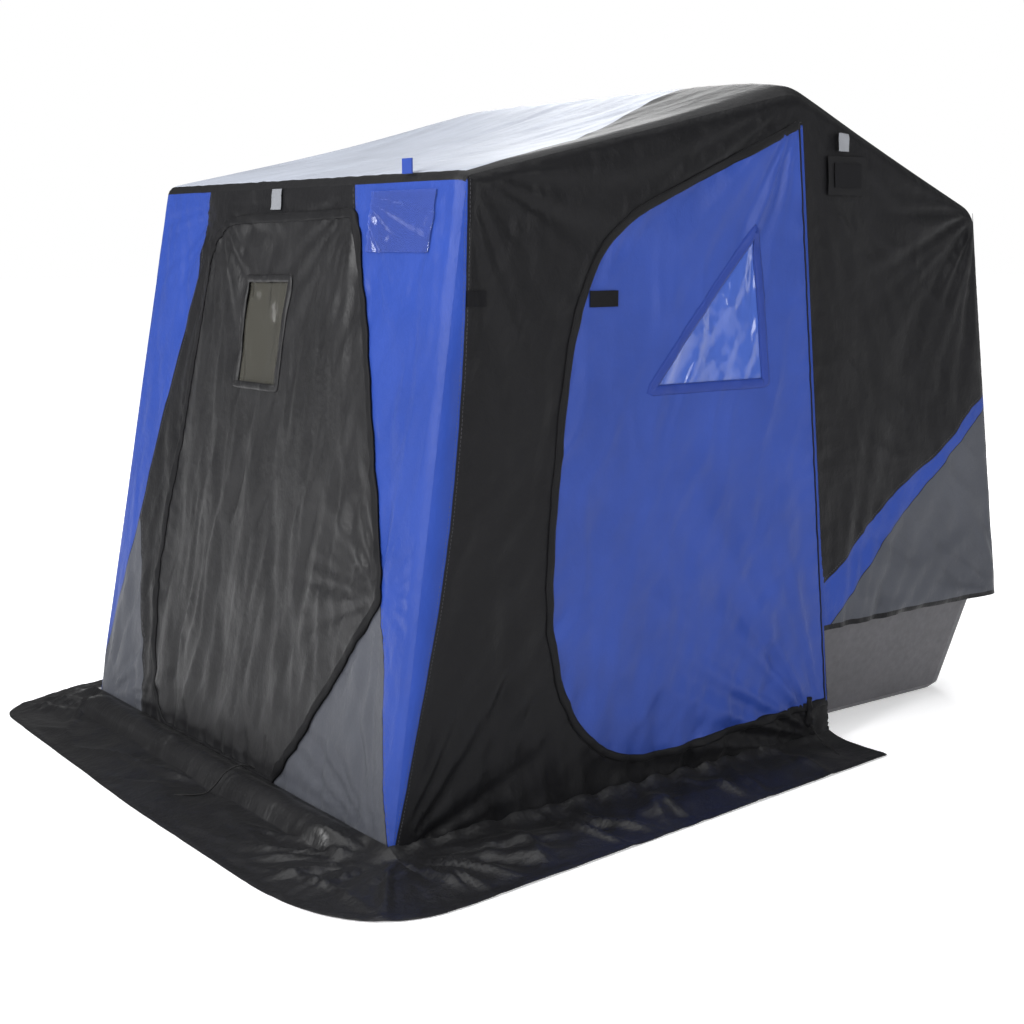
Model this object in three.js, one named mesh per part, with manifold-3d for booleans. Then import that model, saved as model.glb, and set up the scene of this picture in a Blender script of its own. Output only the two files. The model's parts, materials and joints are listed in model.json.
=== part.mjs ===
// Flip-over ice fishing shelter: a sled at the rear, three hoops that fold back over it,
// and a fabric cabin with a front door and two side doors.
// Millimetres, +Z up. The front wall faces -Y and the sled's long side lies along X.
import * as THREE from 'three';
import { mergeVertices } from 'three/addons/utils/BufferGeometryUtils.js';
import Module from 'manifold-3d';

const wasm = await Module();
wasm.setup();

// ---- Driving dimensions -------------------------------------------------------------
const BASE_HALF_WIDTH = 946;      // side wall at floor level
const SIDE_LEAN = 0.039;          // each side wall leans in this much per unit of height
const FRONT_FOOT = [0, 0];        // profile points are [y, z] on the side wall
const FRONT_TOP = [300, 1747];
const PEAK = [1523, 2000];
const REAR_TOP = [2381, 1670];
const REAR_HEM = [2539, 366];    // the rear half ends at this height, over the sled's rim
const SEAM_FOOT = [1655, 0];      // the seam under the middle hoop runs from the peak to here
const PIVOT = [1640, 420];        // all three hoops turn on this line
const FABRIC = 4;
const EDGE_GAP = 6;               // panels stop this far short of the edges they share
const TOUCH_GAP = 0.3;
const VINYL = 2;
const TAG = 1.5;
const DOOR_FIT = 0.996;           // a door panel's size against its opening
const WINDOW_FIT = 0.985;
// Snow skirt: how far it reaches from the walls. The left one is partly turned under.
const SKIRT = { front: 356, right: 340, rightRear: 204, left: 160, leftRear: 150, pastSeam: 38 };
// Start, control point and end of each rounded corner, with x from that side's edge.
const SKIRT_LEFT_CORNER = [[80, -190], [125, -318], [256, -322]];
const SKIRT_RIGHT_CORNER = [[-430, -352], [-16, -335], [0, -60]];
const SKIRT_FRONT_POINT = [160, -SKIRT.front];
const SLED = {
  rimHalfX: 875, rimFront: 1610, rimRear: 2500, rimHeight: 380, rimFlange: 18, wall: 7,
  footHalfX: 765, footFront: 1780, footRear: 2468, corner: 80, floorUp: 8, rimDepth: 24,
  footInset: 20, footRise: 30,   // the lower edge turns under over this rise
};
const RUNNER = { width: 40, height: 7.7, length: 1380, rows: [1920, 2124, 2328] };
const TUBE = { legRadius: 14, innerRadius: 11, bend: 60, capInset: 32, lap: 0.52 };
const EYE = { radius: 18, width: 22, bore: 6.5, legStart: 12.5 };
const PIN = { radius: 6, head: 11, headLength: 8, overhang: 6 };
const BRACKET = { inner: 864, plate: 8, foot: 26, footHeight: 6, halfLength: 42, top: 448 };
const ROUND = 28;                 // sides of a round eye or pin
const HOOPS = [
  { name: 'rear', tip: REAR_TOP, x: 845 },
  { name: 'mid', tip: PEAK, x: 815 },
  { name: 'front', tip: FRONT_TOP, x: 785 },
];
const PULL_RADIUS = 2.5;          // cord on each zip slider
const WEBBING = { size: [46, 4, 40], x: 620, ahead: 6, above: 18 };
const TAG_SPAN = { y: [1672, 1735], z: [1842, 1892] };
// The object's origin on the ground, under the middle of its outline with the skirts.
const ORIGIN = [(SKIRT.right - SKIRT.left) / 2, (REAR_HEM[0] - SKIRT.front) / 2];

// ---- Materials ----------------------------------------------------------------------
const finish = (color, roughness, metalness = 0, opacity = 1) =>
  new THREE.MeshStandardMaterial({ color, roughness, metalness, opacity, transparent: opacity < 1 });
const blackFabric = finish('#262527', 0.75);
const blueFabric = finish('#3f50aa', 0.7);
const roofFabric = finish('#c0c4cc', 0.5);
const clearVinyl = finish('#9aa69c', 0.15, 0, 0.35);
const sledPlastic = finish('#5d5b60', 0.6);
const runnerPlastic = finish('#1d1d1f', 0.5);
const tubeMetal = finish('#b4b7ba', 0.35, 0.9);
const steel = finish('#8b8d90', 0.4, 0.9);
const reflective = finish('#d5d8dc', 0.3);

const shelter = new THREE.Group();
shelter.position.set(-ORIGIN[0], -ORIGIN[1], 0);

const add = (name, geometry, material) => {
  const mesh = new THREE.Mesh(geometry, material);
  mesh.name = name;
  shelter.add(mesh);
  return mesh;
};
const sides = [['right', 1], ['left', -1]];
const halfWidth = (z) => BASE_HALF_WIDTH - SIDE_LEAN * z;
const sidePoint = (side, [y, z]) => new THREE.Vector3(side * halfWidth(z), y, z);

// ---- Solids -------------------------------------------------------------------------
const toManifold = (geometry) => {
  const bare = geometry.clone();
  bare.deleteAttribute('normal');
  bare.deleteAttribute('uv');
  const merged = mergeVertices(bare, 1e-4);
  return new wasm.Manifold(new wasm.Mesh({
    numProp: 3,
    vertProperties: new Float32Array(merged.attributes.position.array),
    triVerts: new Uint32Array(merged.index.array),
  }));
};

const fromManifold = (solid) => {
  const mesh = solid.getMesh();
  const geometry = new THREE.BufferGeometry();
  geometry.setAttribute('position', new THREE.BufferAttribute(mesh.vertProperties, 3));
  geometry.setIndex(new THREE.BufferAttribute(mesh.triVerts, 1));
  return geometry;
};

const join = (...geometries) =>
  fromManifold(geometries.map(toManifold).reduce((sum, solid) => sum.add(solid)));
const cut = (geometry, ...tools) =>
  fromManifold(tools.map(toManifold).reduce((sum, tool) => sum.subtract(tool), toManifold(geometry)));

const box = (size, centre) =>
  new THREE.BoxGeometry(...size).translate(...centre);

const rod = (from, to, radius, segments = 20) => {
  const along = new THREE.Vector3().subVectors(to, from);
  const geometry = new THREE.CylinderGeometry(radius, radius, along.length(), segments);
  const turn = new THREE.Quaternion().setFromUnitVectors(
    new THREE.Vector3(0, 1, 0), along.clone().normalize());
  geometry.applyQuaternion(turn);
  return geometry.translate(...new THREE.Vector3().addVectors(from, to).multiplyScalar(0.5));
};

// A flat sheet cut from a shape in its own plane: origin, two in-plane axes, thickness inward.
const sheet = (plane, shape, thickness = FABRIC, offset = 0) => {
  const geometry = new THREE.ExtrudeGeometry(shape, {
    depth: thickness, bevelEnabled: false, curveSegments: 10 });
  const inward = new THREE.Vector3().crossVectors(plane.u, plane.v);
  const frame = new THREE.Matrix4().makeBasis(plane.u, plane.v, inward);
  frame.setPosition(plane.origin.clone().addScaledVector(inward, offset));
  return geometry.applyMatrix4(frame);
};

// Outlines are lists of Vector2 in the plane's own axes. A shape runs counter-clockwise.
const polygon = (points, ...holes) => {
  const ordered = THREE.ShapeUtils.isClockWise(points) ? [...points].reverse() : points;
  const shape = new THREE.Shape(ordered.map((p) => p.clone()));
  shape.holes.push(...holes.map((hole) => new THREE.Path(hole)));
  return shape;
};
const insetPolygon = (points, distance) => {
  const area = THREE.ShapeUtils.area(points);
  const turn = Math.sign(area);
  const count = points.length;
  return points.map((point, i) => {
    const before = new THREE.Vector2().subVectors(point, points[(i + count - 1) % count]).normalize();
    const after = new THREE.Vector2().subVectors(points[(i + 1) % count], point).normalize();
    const n1 = new THREE.Vector2(-before.y, before.x).multiplyScalar(turn);
    const n2 = new THREE.Vector2(-after.y, after.x).multiplyScalar(turn);
    const scale = distance / (1 + n1.dot(n2));
    return point.clone().addScaledVector(n1.add(n2), scale);
  });
};
const shrink = (points, factor) => {
  const middle = points.reduce((sum, p) => sum.add(p), new THREE.Vector2()).divideScalar(points.length);
  return points.map((p) => p.clone().sub(middle).multiplyScalar(factor).add(middle));
};

// The plane through a straight edge along X and a second such edge, with thickness inward.
const crossPlane = (low, high) => {
  const v = new THREE.Vector3(0, high[0] - low[0], high[1] - low[1]).normalize();
  return { origin: new THREE.Vector3(0, ...low), u: new THREE.Vector3(-1, 0, 0), v };
};
const crossPanel = (name, low, high, material) => {
  const length = Math.hypot(high[0] - low[0], high[1] - low[1]);
  const outline = [[-halfWidth(low[1]), 0], [halfWidth(low[1]), 0],
    [halfWidth(high[1]), length], [-halfWidth(high[1]), length]]
    .map(([x, y]) => new THREE.Vector2(x, y));
  return add(name, sheet(crossPlane(low, high), polygon(insetPolygon(outline, EDGE_GAP))), material);
};

// Side wall planes: u is depth, v is height measured along the lean.
const LEAN_LENGTH = Math.hypot(1, SIDE_LEAN);
const sidePlane = (side) => ({
  origin: new THREE.Vector3(side * BASE_HALF_WIDTH, 0, 0),
  u: new THREE.Vector3(0, -side, 0),
  v: new THREE.Vector3(-side * SIDE_LEAN, 0, 1).normalize(),
});
// Points given as [y, z], returned in the side plane's axes. Thickness runs inward on both sides.
const onSide = (side, points) =>
  points.map(([y, z]) => new THREE.Vector2(-side * y, z * LEAN_LENGTH));

// ---- Hoops --------------------------------------------------------------------------
const legPoint = (hoop, side, distance) => {
  const along = new THREE.Vector2(hoop.tip[0] - PIVOT[0], hoop.tip[1] - PIVOT[1]).normalize();
  return new THREE.Vector3(side * hoop.x, PIVOT[0] + along.x * distance, PIVOT[1] + along.y * distance);
};
const hoopLength = (hoop) =>
  Math.hypot(hoop.tip[0] - PIVOT[0], hoop.tip[1] - PIVOT[1]) - TUBE.capInset;

class QuarterBend extends THREE.Curve {
  constructor(centre, fromArm, toArm) {
    super();
    Object.assign(this, { centre, fromArm, toArm });
  }

  getPoint(t, target = new THREE.Vector3()) {
    const angle = t * Math.PI / 2;
    return target.copy(this.centre)
      .addScaledVector(this.fromArm, Math.cos(angle)).addScaledVector(this.toArm, Math.sin(angle));
  }
}

const circle = (radius) => new THREE.Shape().absarc(0, 0, radius, 0, Math.PI * 2);

const addHoop = (hoop) => {
  const reach = hoopLength(hoop);
  const lap = reach * TUBE.lap;
  for (const [label, side] of sides) {
    const foot = legPoint(hoop, side, 0);
    const across = new THREE.Vector3(1, 0, 0);
    const eye = rod(foot.clone().addScaledVector(across, -EYE.width / 2),
      foot.clone().addScaledVector(across, EYE.width / 2), EYE.radius, ROUND);
    const bore = rod(foot.clone().addScaledVector(across, -EYE.width),
      foot.clone().addScaledVector(across, EYE.width), EYE.bore, ROUND);
    const leg = rod(legPoint(hoop, side, EYE.legStart), legPoint(hoop, side, lap), TUBE.legRadius);
    add(`${hoop.name}_leg_${label}`, cut(join(leg, eye), bore), tubeMetal);

    const upper = rod(legPoint(hoop, side, lap + TOUCH_GAP),
      legPoint(hoop, side, reach - TUBE.bend - TOUCH_GAP), TUBE.innerRadius);
    add(`${hoop.name}_extension_${label}`, upper, tubeMetal);

    const legWay = new THREE.Vector3().subVectors(legPoint(hoop, side, 1), foot);
    const centre = legPoint(hoop, side, reach - TUBE.bend);
    centre.x -= side * TUBE.bend;
    const path = new QuarterBend(centre,
      new THREE.Vector3(side * TUBE.bend, 0, 0), legWay.clone().multiplyScalar(TUBE.bend));
    add(`${hoop.name}_elbow_${label}`, new THREE.ExtrudeGeometry(circle(TUBE.innerRadius),
      { steps: 8, curveSegments: 10, bevelEnabled: false, extrudePath: path }), tubeMetal);
  }
  const inner = hoop.x - TUBE.bend - TOUCH_GAP;
  const end = legPoint(hoop, 1, reach);
  add(`${hoop.name}_crossbar`, rod(new THREE.Vector3(-inner, end.y, end.z),
    new THREE.Vector3(inner, end.y, end.z), TUBE.innerRadius), tubeMetal);
};

// ---- Sled ---------------------------------------------------------------------------
const CORNER_STEPS = 5;
const roundedRing = ({ halfX, front, rear, corner, z }) => {
  const points = [];
  const centres = [[halfX - corner, front + corner, -90], [halfX - corner, rear - corner, 0],
    [-halfX + corner, rear - corner, 90], [-halfX + corner, front + corner, 180]];
  for (const [x, y, start] of centres) {
    for (let i = 0; i <= CORNER_STEPS; i += 1) {
      const angle = THREE.MathUtils.degToRad(start + 90 * i / CORNER_STEPS);
      points.push(new THREE.Vector3(x + corner * Math.cos(angle), y + corner * Math.sin(angle), z));
    }
  }
  return points;
};

// A closed skin over a stack of rings with equal counts, capped flat at both ends.
const ringLoft = (rings) => {
  const count = rings[0].length;
  const positions = rings.flat().flatMap((p) => [p.x, p.y, p.z]);
  const index = [];
  for (let r = 0; r + 1 < rings.length; r += 1) {
    for (let i = 0; i < count; i += 1) {
      const a = r * count + i;
      const b = r * count + (i + 1) % count;
      index.push(a, b, b + count, a, b + count, a + count);
    }
  }
  const last = (rings.length - 1) * count;
  for (let i = 1; i + 1 < count; i += 1) {
    index.push(0, i + 1, i, last, last + i, last + i + 1);
  }
  const geometry = new THREE.BufferGeometry();
  geometry.setAttribute('position', new THREE.Float32BufferAttribute(positions, 3));
  geometry.setIndex(index);
  return geometry;
};

const addSled = () => {
  const level = (share, grow, z) => ({
    halfX: THREE.MathUtils.lerp(SLED.footHalfX, SLED.rimHalfX, share) + grow,
    front: THREE.MathUtils.lerp(SLED.footFront, SLED.rimFront, share) - grow,
    rear: THREE.MathUtils.lerp(SLED.footRear, SLED.rimRear, share) + grow,
    corner: SLED.corner + grow,
    z,
  });
  const underRim = SLED.rimHeight - SLED.rimDepth;
  const share = (z) => (z - SLED.floorUp) / (SLED.rimHeight - SLED.floorUp);
  const stack = [
    level(0, -SLED.footInset, SLED.floorUp),
    level(share(SLED.footRise), 0, SLED.footRise),
    level(share(underRim), 0, underRim),
    level(share(underRim), SLED.rimFlange, underRim),
    level(1, SLED.rimFlange, SLED.rimHeight),
    level(1, -SLED.wall, SLED.rimHeight),
    level(share(SLED.footRise), -SLED.wall, SLED.footRise),
    level(0, -SLED.footInset - SLED.wall, SLED.floorUp + SLED.wall),
  ];
  add('sled_tub', ringLoft(stack.map(roundedRing)), sledPlastic);
  RUNNER.rows.forEach((y, i) => {
    add(`sled_runner_${i + 1}`, box([RUNNER.length, RUNNER.width, RUNNER.height],
      [0, y, RUNNER.height / 2]), runnerPlastic);
  });
  for (const [label, side] of sides) {
    const plateX = side * (BRACKET.inner + BRACKET.plate / 2);
    const base = SLED.rimHeight + TOUCH_GAP;
    const plate = box([BRACKET.plate, BRACKET.halfLength * 2, BRACKET.top - base],
      [plateX, PIVOT[0], (BRACKET.top + base) / 2]);
    const foot = box([BRACKET.foot, BRACKET.halfLength * 2, BRACKET.footHeight],
      [side * (BRACKET.inner + BRACKET.foot / 2), PIVOT[0], base + BRACKET.footHeight / 2]);
    const axle = (radius, from, to) => rod(new THREE.Vector3(side * from, ...PIVOT),
      new THREE.Vector3(side * to, ...PIVOT), radius, ROUND);
    const outer = BRACKET.inner + BRACKET.plate;
    add(`pivot_bracket_${label}`, cut(join(plate, foot),
      axle(EYE.bore, BRACKET.inner - BRACKET.foot, BRACKET.inner + BRACKET.foot)), steel);
    add(`pivot_bolt_${label}`, join(
      axle(PIN.radius, HOOPS[2].x - EYE.width / 2 - PIN.overhang, outer + TOUCH_GAP + PIN.headLength / 2),
      axle(PIN.head, outer + TOUCH_GAP, outer + TOUCH_GAP + PIN.headLength)), steel);
  }
};

// ---- Cabin fabric -------------------------------------------------------------------
const frontPlane = crossPlane(FRONT_FOOT, FRONT_TOP);
const FRONT_SLOPE = Math.hypot(FRONT_TOP[0], FRONT_TOP[1]) / FRONT_TOP[1];
// Front features are given as [x, z] on the wall; the plane's u axis points to -X.
const onFront = (points) => points.map(([x, z]) => new THREE.Vector2(-x, z * FRONT_SLOPE));

const frontDoorOutline = () => {
  const shape = new THREE.Shape();
  shape.moveTo(-390, 34);
  shape.lineTo(290, 34);
  shape.lineTo(741, 640);
  shape.lineTo(373, 1646);
  shape.lineTo(-300, 1632);
  shape.quadraticCurveTo(-440, 1625, -464, 1500);
  shape.quadraticCurveTo(-515, 1200, -546, 900);
  shape.quadraticCurveTo(-615, 420, -535, 220);
  shape.quadraticCurveTo(-490, 60, -390, 34);
  return onFront(shape.getPoints(10).slice(0, -1).map((p) => [p.x, p.y]));
};
const FRONT_WINDOW = [[-198, 1146], [37, 1148], [60, 1454], [-198, 1449]];

const addFrontWall = () => {
  const length = Math.hypot(...FRONT_TOP);
  const wall = insetPolygon([[-BASE_HALF_WIDTH, 0], [BASE_HALF_WIDTH, 0],
    [halfWidth(FRONT_TOP[1]), length], [-halfWidth(FRONT_TOP[1]), length]]
    .map(([x, y]) => new THREE.Vector2(x, y)), EDGE_GAP);
  const opening = frontDoorOutline();
  add('front_wall_panel', sheet(frontPlane, polygon(wall, opening)), blackFabric);

  const window = onFront(FRONT_WINDOW);
  add('front_door_panel', sheet(frontPlane, polygon(shrink(opening, DOOR_FIT), window)), blackFabric);
  add('front_window', sheet(frontPlane, polygon(shrink(window, WINDOW_FIT)), VINYL), clearVinyl);

  const pocket = polygon(onFront([[452, 1540], [780, 1540], [751, 1702], [452, 1702]]));
  add('document_pocket', sheet(frontPlane, pocket, VINYL, -VINYL - TOUCH_GAP), clearVinyl);
  const tag = polygon(onFront([[-106, 1669], [-40, 1669], [-40, 1722], [-106, 1722]]));
  add('reflective_tag_front', sheet(frontPlane, tag, TAG, -TAG - TOUCH_GAP), reflective);
};

const sideDoorOutline = (side) => {
  const shape = new THREE.Shape();
  shape.moveTo(1514, 1890);
  shape.lineTo(930, 1664);
  shape.quadraticCurveTo(705, 1580, 650, 1310);
  shape.quadraticCurveTo(567, 930, 547, 640);
  shape.bezierCurveTo(540, 300, 660, 97, 940, 97);
  shape.lineTo(1632, 140);
  return onSide(side, shape.getPoints(10).map((p) => [p.x, p.y]));
};
const SIDE_WINDOW = [[950, 1167], [1363, 1167], [1331, 1579]];

const addSideWall = (label, side) => {
  const plane = sidePlane(side);
  const front = insetPolygon(onSide(side, [FRONT_FOOT, SEAM_FOOT, PEAK, FRONT_TOP]), EDGE_GAP);
  const opening = sideDoorOutline(side);
  add(`side_wall_${label}`, sheet(plane, polygon(front, opening)), blackFabric);

  const window = onSide(side, SIDE_WINDOW);
  add(`side_door_panel_${label}`, sheet(plane, polygon(shrink(opening, DOOR_FIT), window)), blueFabric);
  add(`side_window_${label}`, sheet(plane, polygon(shrink(window, WINDOW_FIT)), VINYL), clearVinyl);

  const seamAtHem = THREE.MathUtils.lerp(SEAM_FOOT[0], PEAK[0], REAR_HEM[1] / PEAK[1]);
  const rear = insetPolygon(
    onSide(side, [[seamAtHem, REAR_HEM[1]], REAR_HEM, REAR_TOP, PEAK]), EDGE_GAP);
  add(`rear_side_${label}`, sheet(plane, polygon(rear)), blackFabric);
};

// ---- Snow skirts --------------------------------------------------------------------
const roundCorner = (shape, edge, [start, control, end]) => {
  shape.lineTo(edge + start[0], start[1]);
  shape.quadraticCurveTo(edge + control[0], control[1], edge + end[0], end[1]);
};

const addSkirts = () => {
  const right = BASE_HALF_WIDTH + SKIRT.right;
  const left = -BASE_HALF_WIDTH - SKIRT.left;
  const front = new THREE.Shape();
  front.moveTo(left, -EDGE_GAP);
  roundCorner(front, left, SKIRT_LEFT_CORNER);
  front.lineTo(...SKIRT_FRONT_POINT);
  roundCorner(front, right, SKIRT_RIGHT_CORNER);
  front.lineTo(right, -EDGE_GAP);
  add('skirt_front', new THREE.ExtrudeGeometry(front,
    { depth: FABRIC, bevelEnabled: false, curveSegments: 14 }), blackFabric);
  const inner = BASE_HALF_WIDTH + EDGE_GAP;
  for (const [label, side] of sides) {
    const tip = [BASE_HALF_WIDTH + SKIRT[`${label}Rear`], SEAM_FOOT[0] + SKIRT.pastSeam];
    const outline = polygon([[inner, 0], [BASE_HALF_WIDTH + SKIRT[label], 0], tip,
      [inner, SEAM_FOOT[0] - EDGE_GAP]].map(([x, y]) => new THREE.Vector2(side * x, y)));
    add(`skirt_${label}`, new THREE.ExtrudeGeometry(outline,
      { depth: FABRIC, bevelEnabled: false }), blackFabric);
  }
};

// ---- Small fittings -----------------------------------------------------------------
const pullCord = (name, points) => {
  const path = new THREE.CatmullRomCurve3(points.map((p) => new THREE.Vector3(...p)));
  add(name, new THREE.ExtrudeGeometry(circle(PULL_RADIUS),
    { steps: 24, curveSegments: 4, bevelEnabled: false, extrudePath: path }), blackFabric);
};

const addFittings = () => {
  const [roofY, roofZ] = FRONT_TOP;
  add('webbing_loop',
    box(WEBBING.size, [WEBBING.x, roofY - WEBBING.ahead, roofZ + WEBBING.above]), blueFabric);
  for (const [label, side] of sides) {
    const outline = polygon(onSide(side, [[TAG_SPAN.y[0], TAG_SPAN.z[0]], [TAG_SPAN.y[1], TAG_SPAN.z[0]],
      [TAG_SPAN.y[1], TAG_SPAN.z[1]], [TAG_SPAN.y[0], TAG_SPAN.z[1]]]));
    add(`reflective_tag_${label}`, sheet(sidePlane(side), outline, TAG, -TAG - TOUCH_GAP), reflective);
  }
  pullCord('front_zip_pull', [[255, -14, 70], [249, -34, 82], [238, -62, 84], [226, -92, 68],
    [216, -118, 36], [207, -144, 13], [192, -172, 8.5], [176, -198, 8.5]]);
  for (const [label, side] of sides) {
    pullCord(`side_zip_pull_${label}`, [[960, 1560, 78], [974, 1566, 52], [994, 1578, 26],
      [1014, 1588, 12], [1036, 1582, 8.5], [1056, 1570, 8.5]].map(([x, y, z]) => [side * x, y, z]));
  }
};

addSled();
HOOPS.forEach(addHoop);
crossPanel('roof_front', FRONT_TOP, PEAK, roofFabric);
crossPanel('roof_rear', PEAK, REAR_TOP, blackFabric);
crossPanel('back_wall', REAR_TOP, REAR_HEM, blackFabric);
addFrontWall();
sides.forEach(([label, side]) => addSideWall(label, side));
addSkirts();
addFittings();

export default shelter;
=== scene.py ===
"""Looks of a flip-over ice fishing shelter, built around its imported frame. Metres, +Z up.

Cabin coordinates put y = 0 at the front wall's foot. ORIGIN is added to reach the frame's own.
"""
import json
import math

import bmesh
import bpy
import numpy as np
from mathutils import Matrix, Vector
from mathutils.geometry import delaunay_2d_cdt


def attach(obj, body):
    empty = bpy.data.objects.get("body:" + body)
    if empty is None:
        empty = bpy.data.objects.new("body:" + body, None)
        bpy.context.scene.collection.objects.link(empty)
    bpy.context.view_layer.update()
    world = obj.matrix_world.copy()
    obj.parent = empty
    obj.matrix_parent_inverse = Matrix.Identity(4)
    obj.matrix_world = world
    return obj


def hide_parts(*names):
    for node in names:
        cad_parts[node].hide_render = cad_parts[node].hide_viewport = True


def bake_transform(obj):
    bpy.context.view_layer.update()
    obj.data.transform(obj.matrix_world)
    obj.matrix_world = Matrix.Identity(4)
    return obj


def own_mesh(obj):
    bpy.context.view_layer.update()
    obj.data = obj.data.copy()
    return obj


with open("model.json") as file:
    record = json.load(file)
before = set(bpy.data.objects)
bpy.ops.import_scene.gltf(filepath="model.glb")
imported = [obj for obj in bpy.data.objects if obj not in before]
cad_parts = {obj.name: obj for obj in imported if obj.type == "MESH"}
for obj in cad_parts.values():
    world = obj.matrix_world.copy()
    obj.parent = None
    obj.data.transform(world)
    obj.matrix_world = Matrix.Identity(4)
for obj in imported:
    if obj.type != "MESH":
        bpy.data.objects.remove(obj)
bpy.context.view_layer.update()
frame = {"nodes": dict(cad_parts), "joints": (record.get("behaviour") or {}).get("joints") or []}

# ---- Driving dimensions
ORIGIN = np.array([-0.0900, -1.0915, 0])    # where the middle of the front wall's foot lies
FRONT_Y = ORIGIN[1]
BASE_HALF_WIDTH = 0.946
SIDE_LEAN = 0.039
FRONT_FOOT = (0.0, 0.0)
FRONT_TOP = (0.300, 1.747)
PEAK = (1.523, 2.000)
REAR_TOP = (2.381, 1.670)
REAR_HEM = (2.539, 0.366)
SEAM_FOOT = (1.655, 0.0)
PITCH = 0.014            # spacing of the cloth grids
CLOTH = 0.0016           # cloth thickness
FLOOR_GAP = 0.002        # no cloth reaches lower than this
ARC_STEPS = 7            # points in a round corner
CURVE_STEPS = 14         # pieces in a bezier curve
ROUTE_STEPS = 6          # pieces between two points of a cord
ROW_PITCH = 0.866        # rows of an even triangle grid, as a share of its pitch
TAPE_STEP = 0.012        # spacing of the rings of a tape
TAPE_SUNK = -0.004       # how far a tape's edges sink into the cloth
PATCH_PITCH = 0.010
PATCH = 0.0018           # patch thickness
SKIRT = 0.002            # skirt thickness
DOOR_SHARE = 0.997       # a door panel's size as a share of its opening
LEAST_WIDTH = 0.02       # the narrowest width that a sheet is stated with
LEAST_FILL = 0.31        # the least share of its rectangle that a sheet's area is stated with
JOINT = {j["name"]: j for j in frame["joints"]}
PIVOT = (JOINT["rear_fold"]["pos_m"][1] - FRONT_Y, JOINT["rear_fold"]["pos_m"][2])
HEM_SEAM_Y = SEAM_FOOT[0] + (PEAK[0] - SEAM_FOOT[0]) * REAR_HEM[1] / PEAK[1]


def half_width(z):
    return BASE_HALF_WIDTH - SIDE_LEAN * z


def put(name, data):
    """A new object in the scene."""
    item = bpy.data.objects.new(name, data)
    bpy.context.scene.collection.objects.link(item)
    return item


def set_uv(mesh, flat):
    """Flat coordinates, one row a vertex, as the mesh's UV map."""
    layer = mesh.uv_layers.new(name="UVMap")
    loops = np.empty(len(mesh.loops), int)
    mesh.loops.foreach_get("vertex_index", loops)
    layer.data.foreach_set("uv", flat[loops].ravel())


def face_outward(mesh):
    repair = bmesh.new()
    repair.from_mesh(mesh)
    bmesh.ops.recalc_face_normals(repair, faces=repair.faces)
    repair.to_mesh(mesh)
    repair.free()
    mesh.shade_smooth()


def describe(piece, node=None, body=None):
    """Hides the CAD node that the piece stands for, and attaches the piece to the body that it rides on."""
    if node:
        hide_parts(node)
    if body:
        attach(piece, body)


# ---- Camera
CAMERA_PLACE = ORIGIN + (4.204, -2.084, 1.570)
CAMERA_PITCH = math.radians(9.67)
CAMERA_AZIMUTH = math.radians(52.754)
LENS = 55.94


def add_camera():
    data = bpy.data.cameras.new("camera")
    data.lens = LENS
    data.sensor_width = 36
    camera = put("camera", data)
    camera.location = CAMERA_PLACE
    camera.rotation_euler = (math.pi / 2 - CAMERA_PITCH, 0, CAMERA_AZIMUTH)
    bpy.context.scene.camera = camera


# ---- Noise
class Noise:
    """Smooth gradient noise over the plane, about -0.7 to 0.7."""

    def __init__(self, seed):
        rng = np.random.default_rng(seed)
        self.table = rng.permutation(256)
        angle = rng.uniform(0, 2 * math.pi, 256)
        self.gradient = np.stack([np.cos(angle), np.sin(angle)], 1)

    def __call__(self, x, y):
        column, row = np.floor(x).astype(int), np.floor(y).astype(int)
        dx, dy = x - column, y - row

        def corner(i, j):
            pick = self.table[(self.table[(column + i) & 255] + row + j) & 255]
            return self.gradient[pick, 0] * (dx - i) + self.gradient[pick, 1] * (dy - j)

        fx, fy = (t * t * t * (t * (t * 6 - 15) + 10) for t in (dx, dy))
        low = corner(0, 0) * (1 - fx) + corner(1, 0) * fx
        high = corner(0, 1) * (1 - fx) + corner(1, 1) * fx
        return low * (1 - fy) + high * fy


NOISES = [Noise(seed) for seed in range(12)]


def folds(u, v, angle, width, length, seed):
    """Soft folds that run along angle, in degrees from +u, with crests sharper than hollows."""
    turn = math.radians(angle)
    bend = 0.30 * width * NOISES[(seed + 5) % 12](u / 0.28, v / 0.28)
    along = u * math.cos(turn) + v * math.sin(turn)
    across = v * math.cos(turn) - u * math.sin(turn) + 2.2 * bend
    wave = NOISES[seed](along / length + 7.3 * seed, across / width + 3.1 * seed)
    return 0.6 * wave + 0.55 * (0.22 - np.abs(wave - 0.06))


def creases(u, v, angle, width, length, seed):
    """Sharp raised creases that run along angle, 0 to 1."""
    return np.clip(1 - 3.2 * np.abs(folds(u, v, angle, width, length, seed)), 0, 1) ** 2


def near(distance, reach):
    return np.exp(-(distance / reach) ** 2)


# ---- Outlines
def arc_corner(before, corner, after, radius):
    """Points of a round corner between two straight edges."""
    before, corner, after = (np.array(p, float) for p in (before, corner, after))
    into = (before - corner) / np.linalg.norm(before - corner)
    out = (after - corner) / np.linalg.norm(after - corner)
    half = math.acos(np.clip(into @ out, -1, 1)) / 2
    cut = radius / math.tan(half)
    middle = corner + (into + out) / np.linalg.norm(into + out) * radius / math.sin(half)
    a0 = math.atan2(*(corner + into * cut - middle)[::-1])
    a1 = math.atan2(*(corner + out * cut - middle)[::-1])
    sweep = (a1 - a0 + math.pi) % (2 * math.pi) - math.pi
    angles = a0 + sweep * np.linspace(0, 1, ARC_STEPS)
    return [tuple(middle + radius * np.array([math.cos(a), math.sin(a)])) for a in angles]


def bezier(*controls):
    """Points on a quadratic or cubic curve, without its first point."""
    points = np.array(controls, float)
    rows = []
    for t in np.linspace(0, 1, CURVE_STEPS + 1)[1:]:
        level = points
        while len(level) > 1:
            level = level[:-1] * (1 - t) + level[1:] * t
        rows.append(tuple(level[0]))
    return rows


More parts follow.
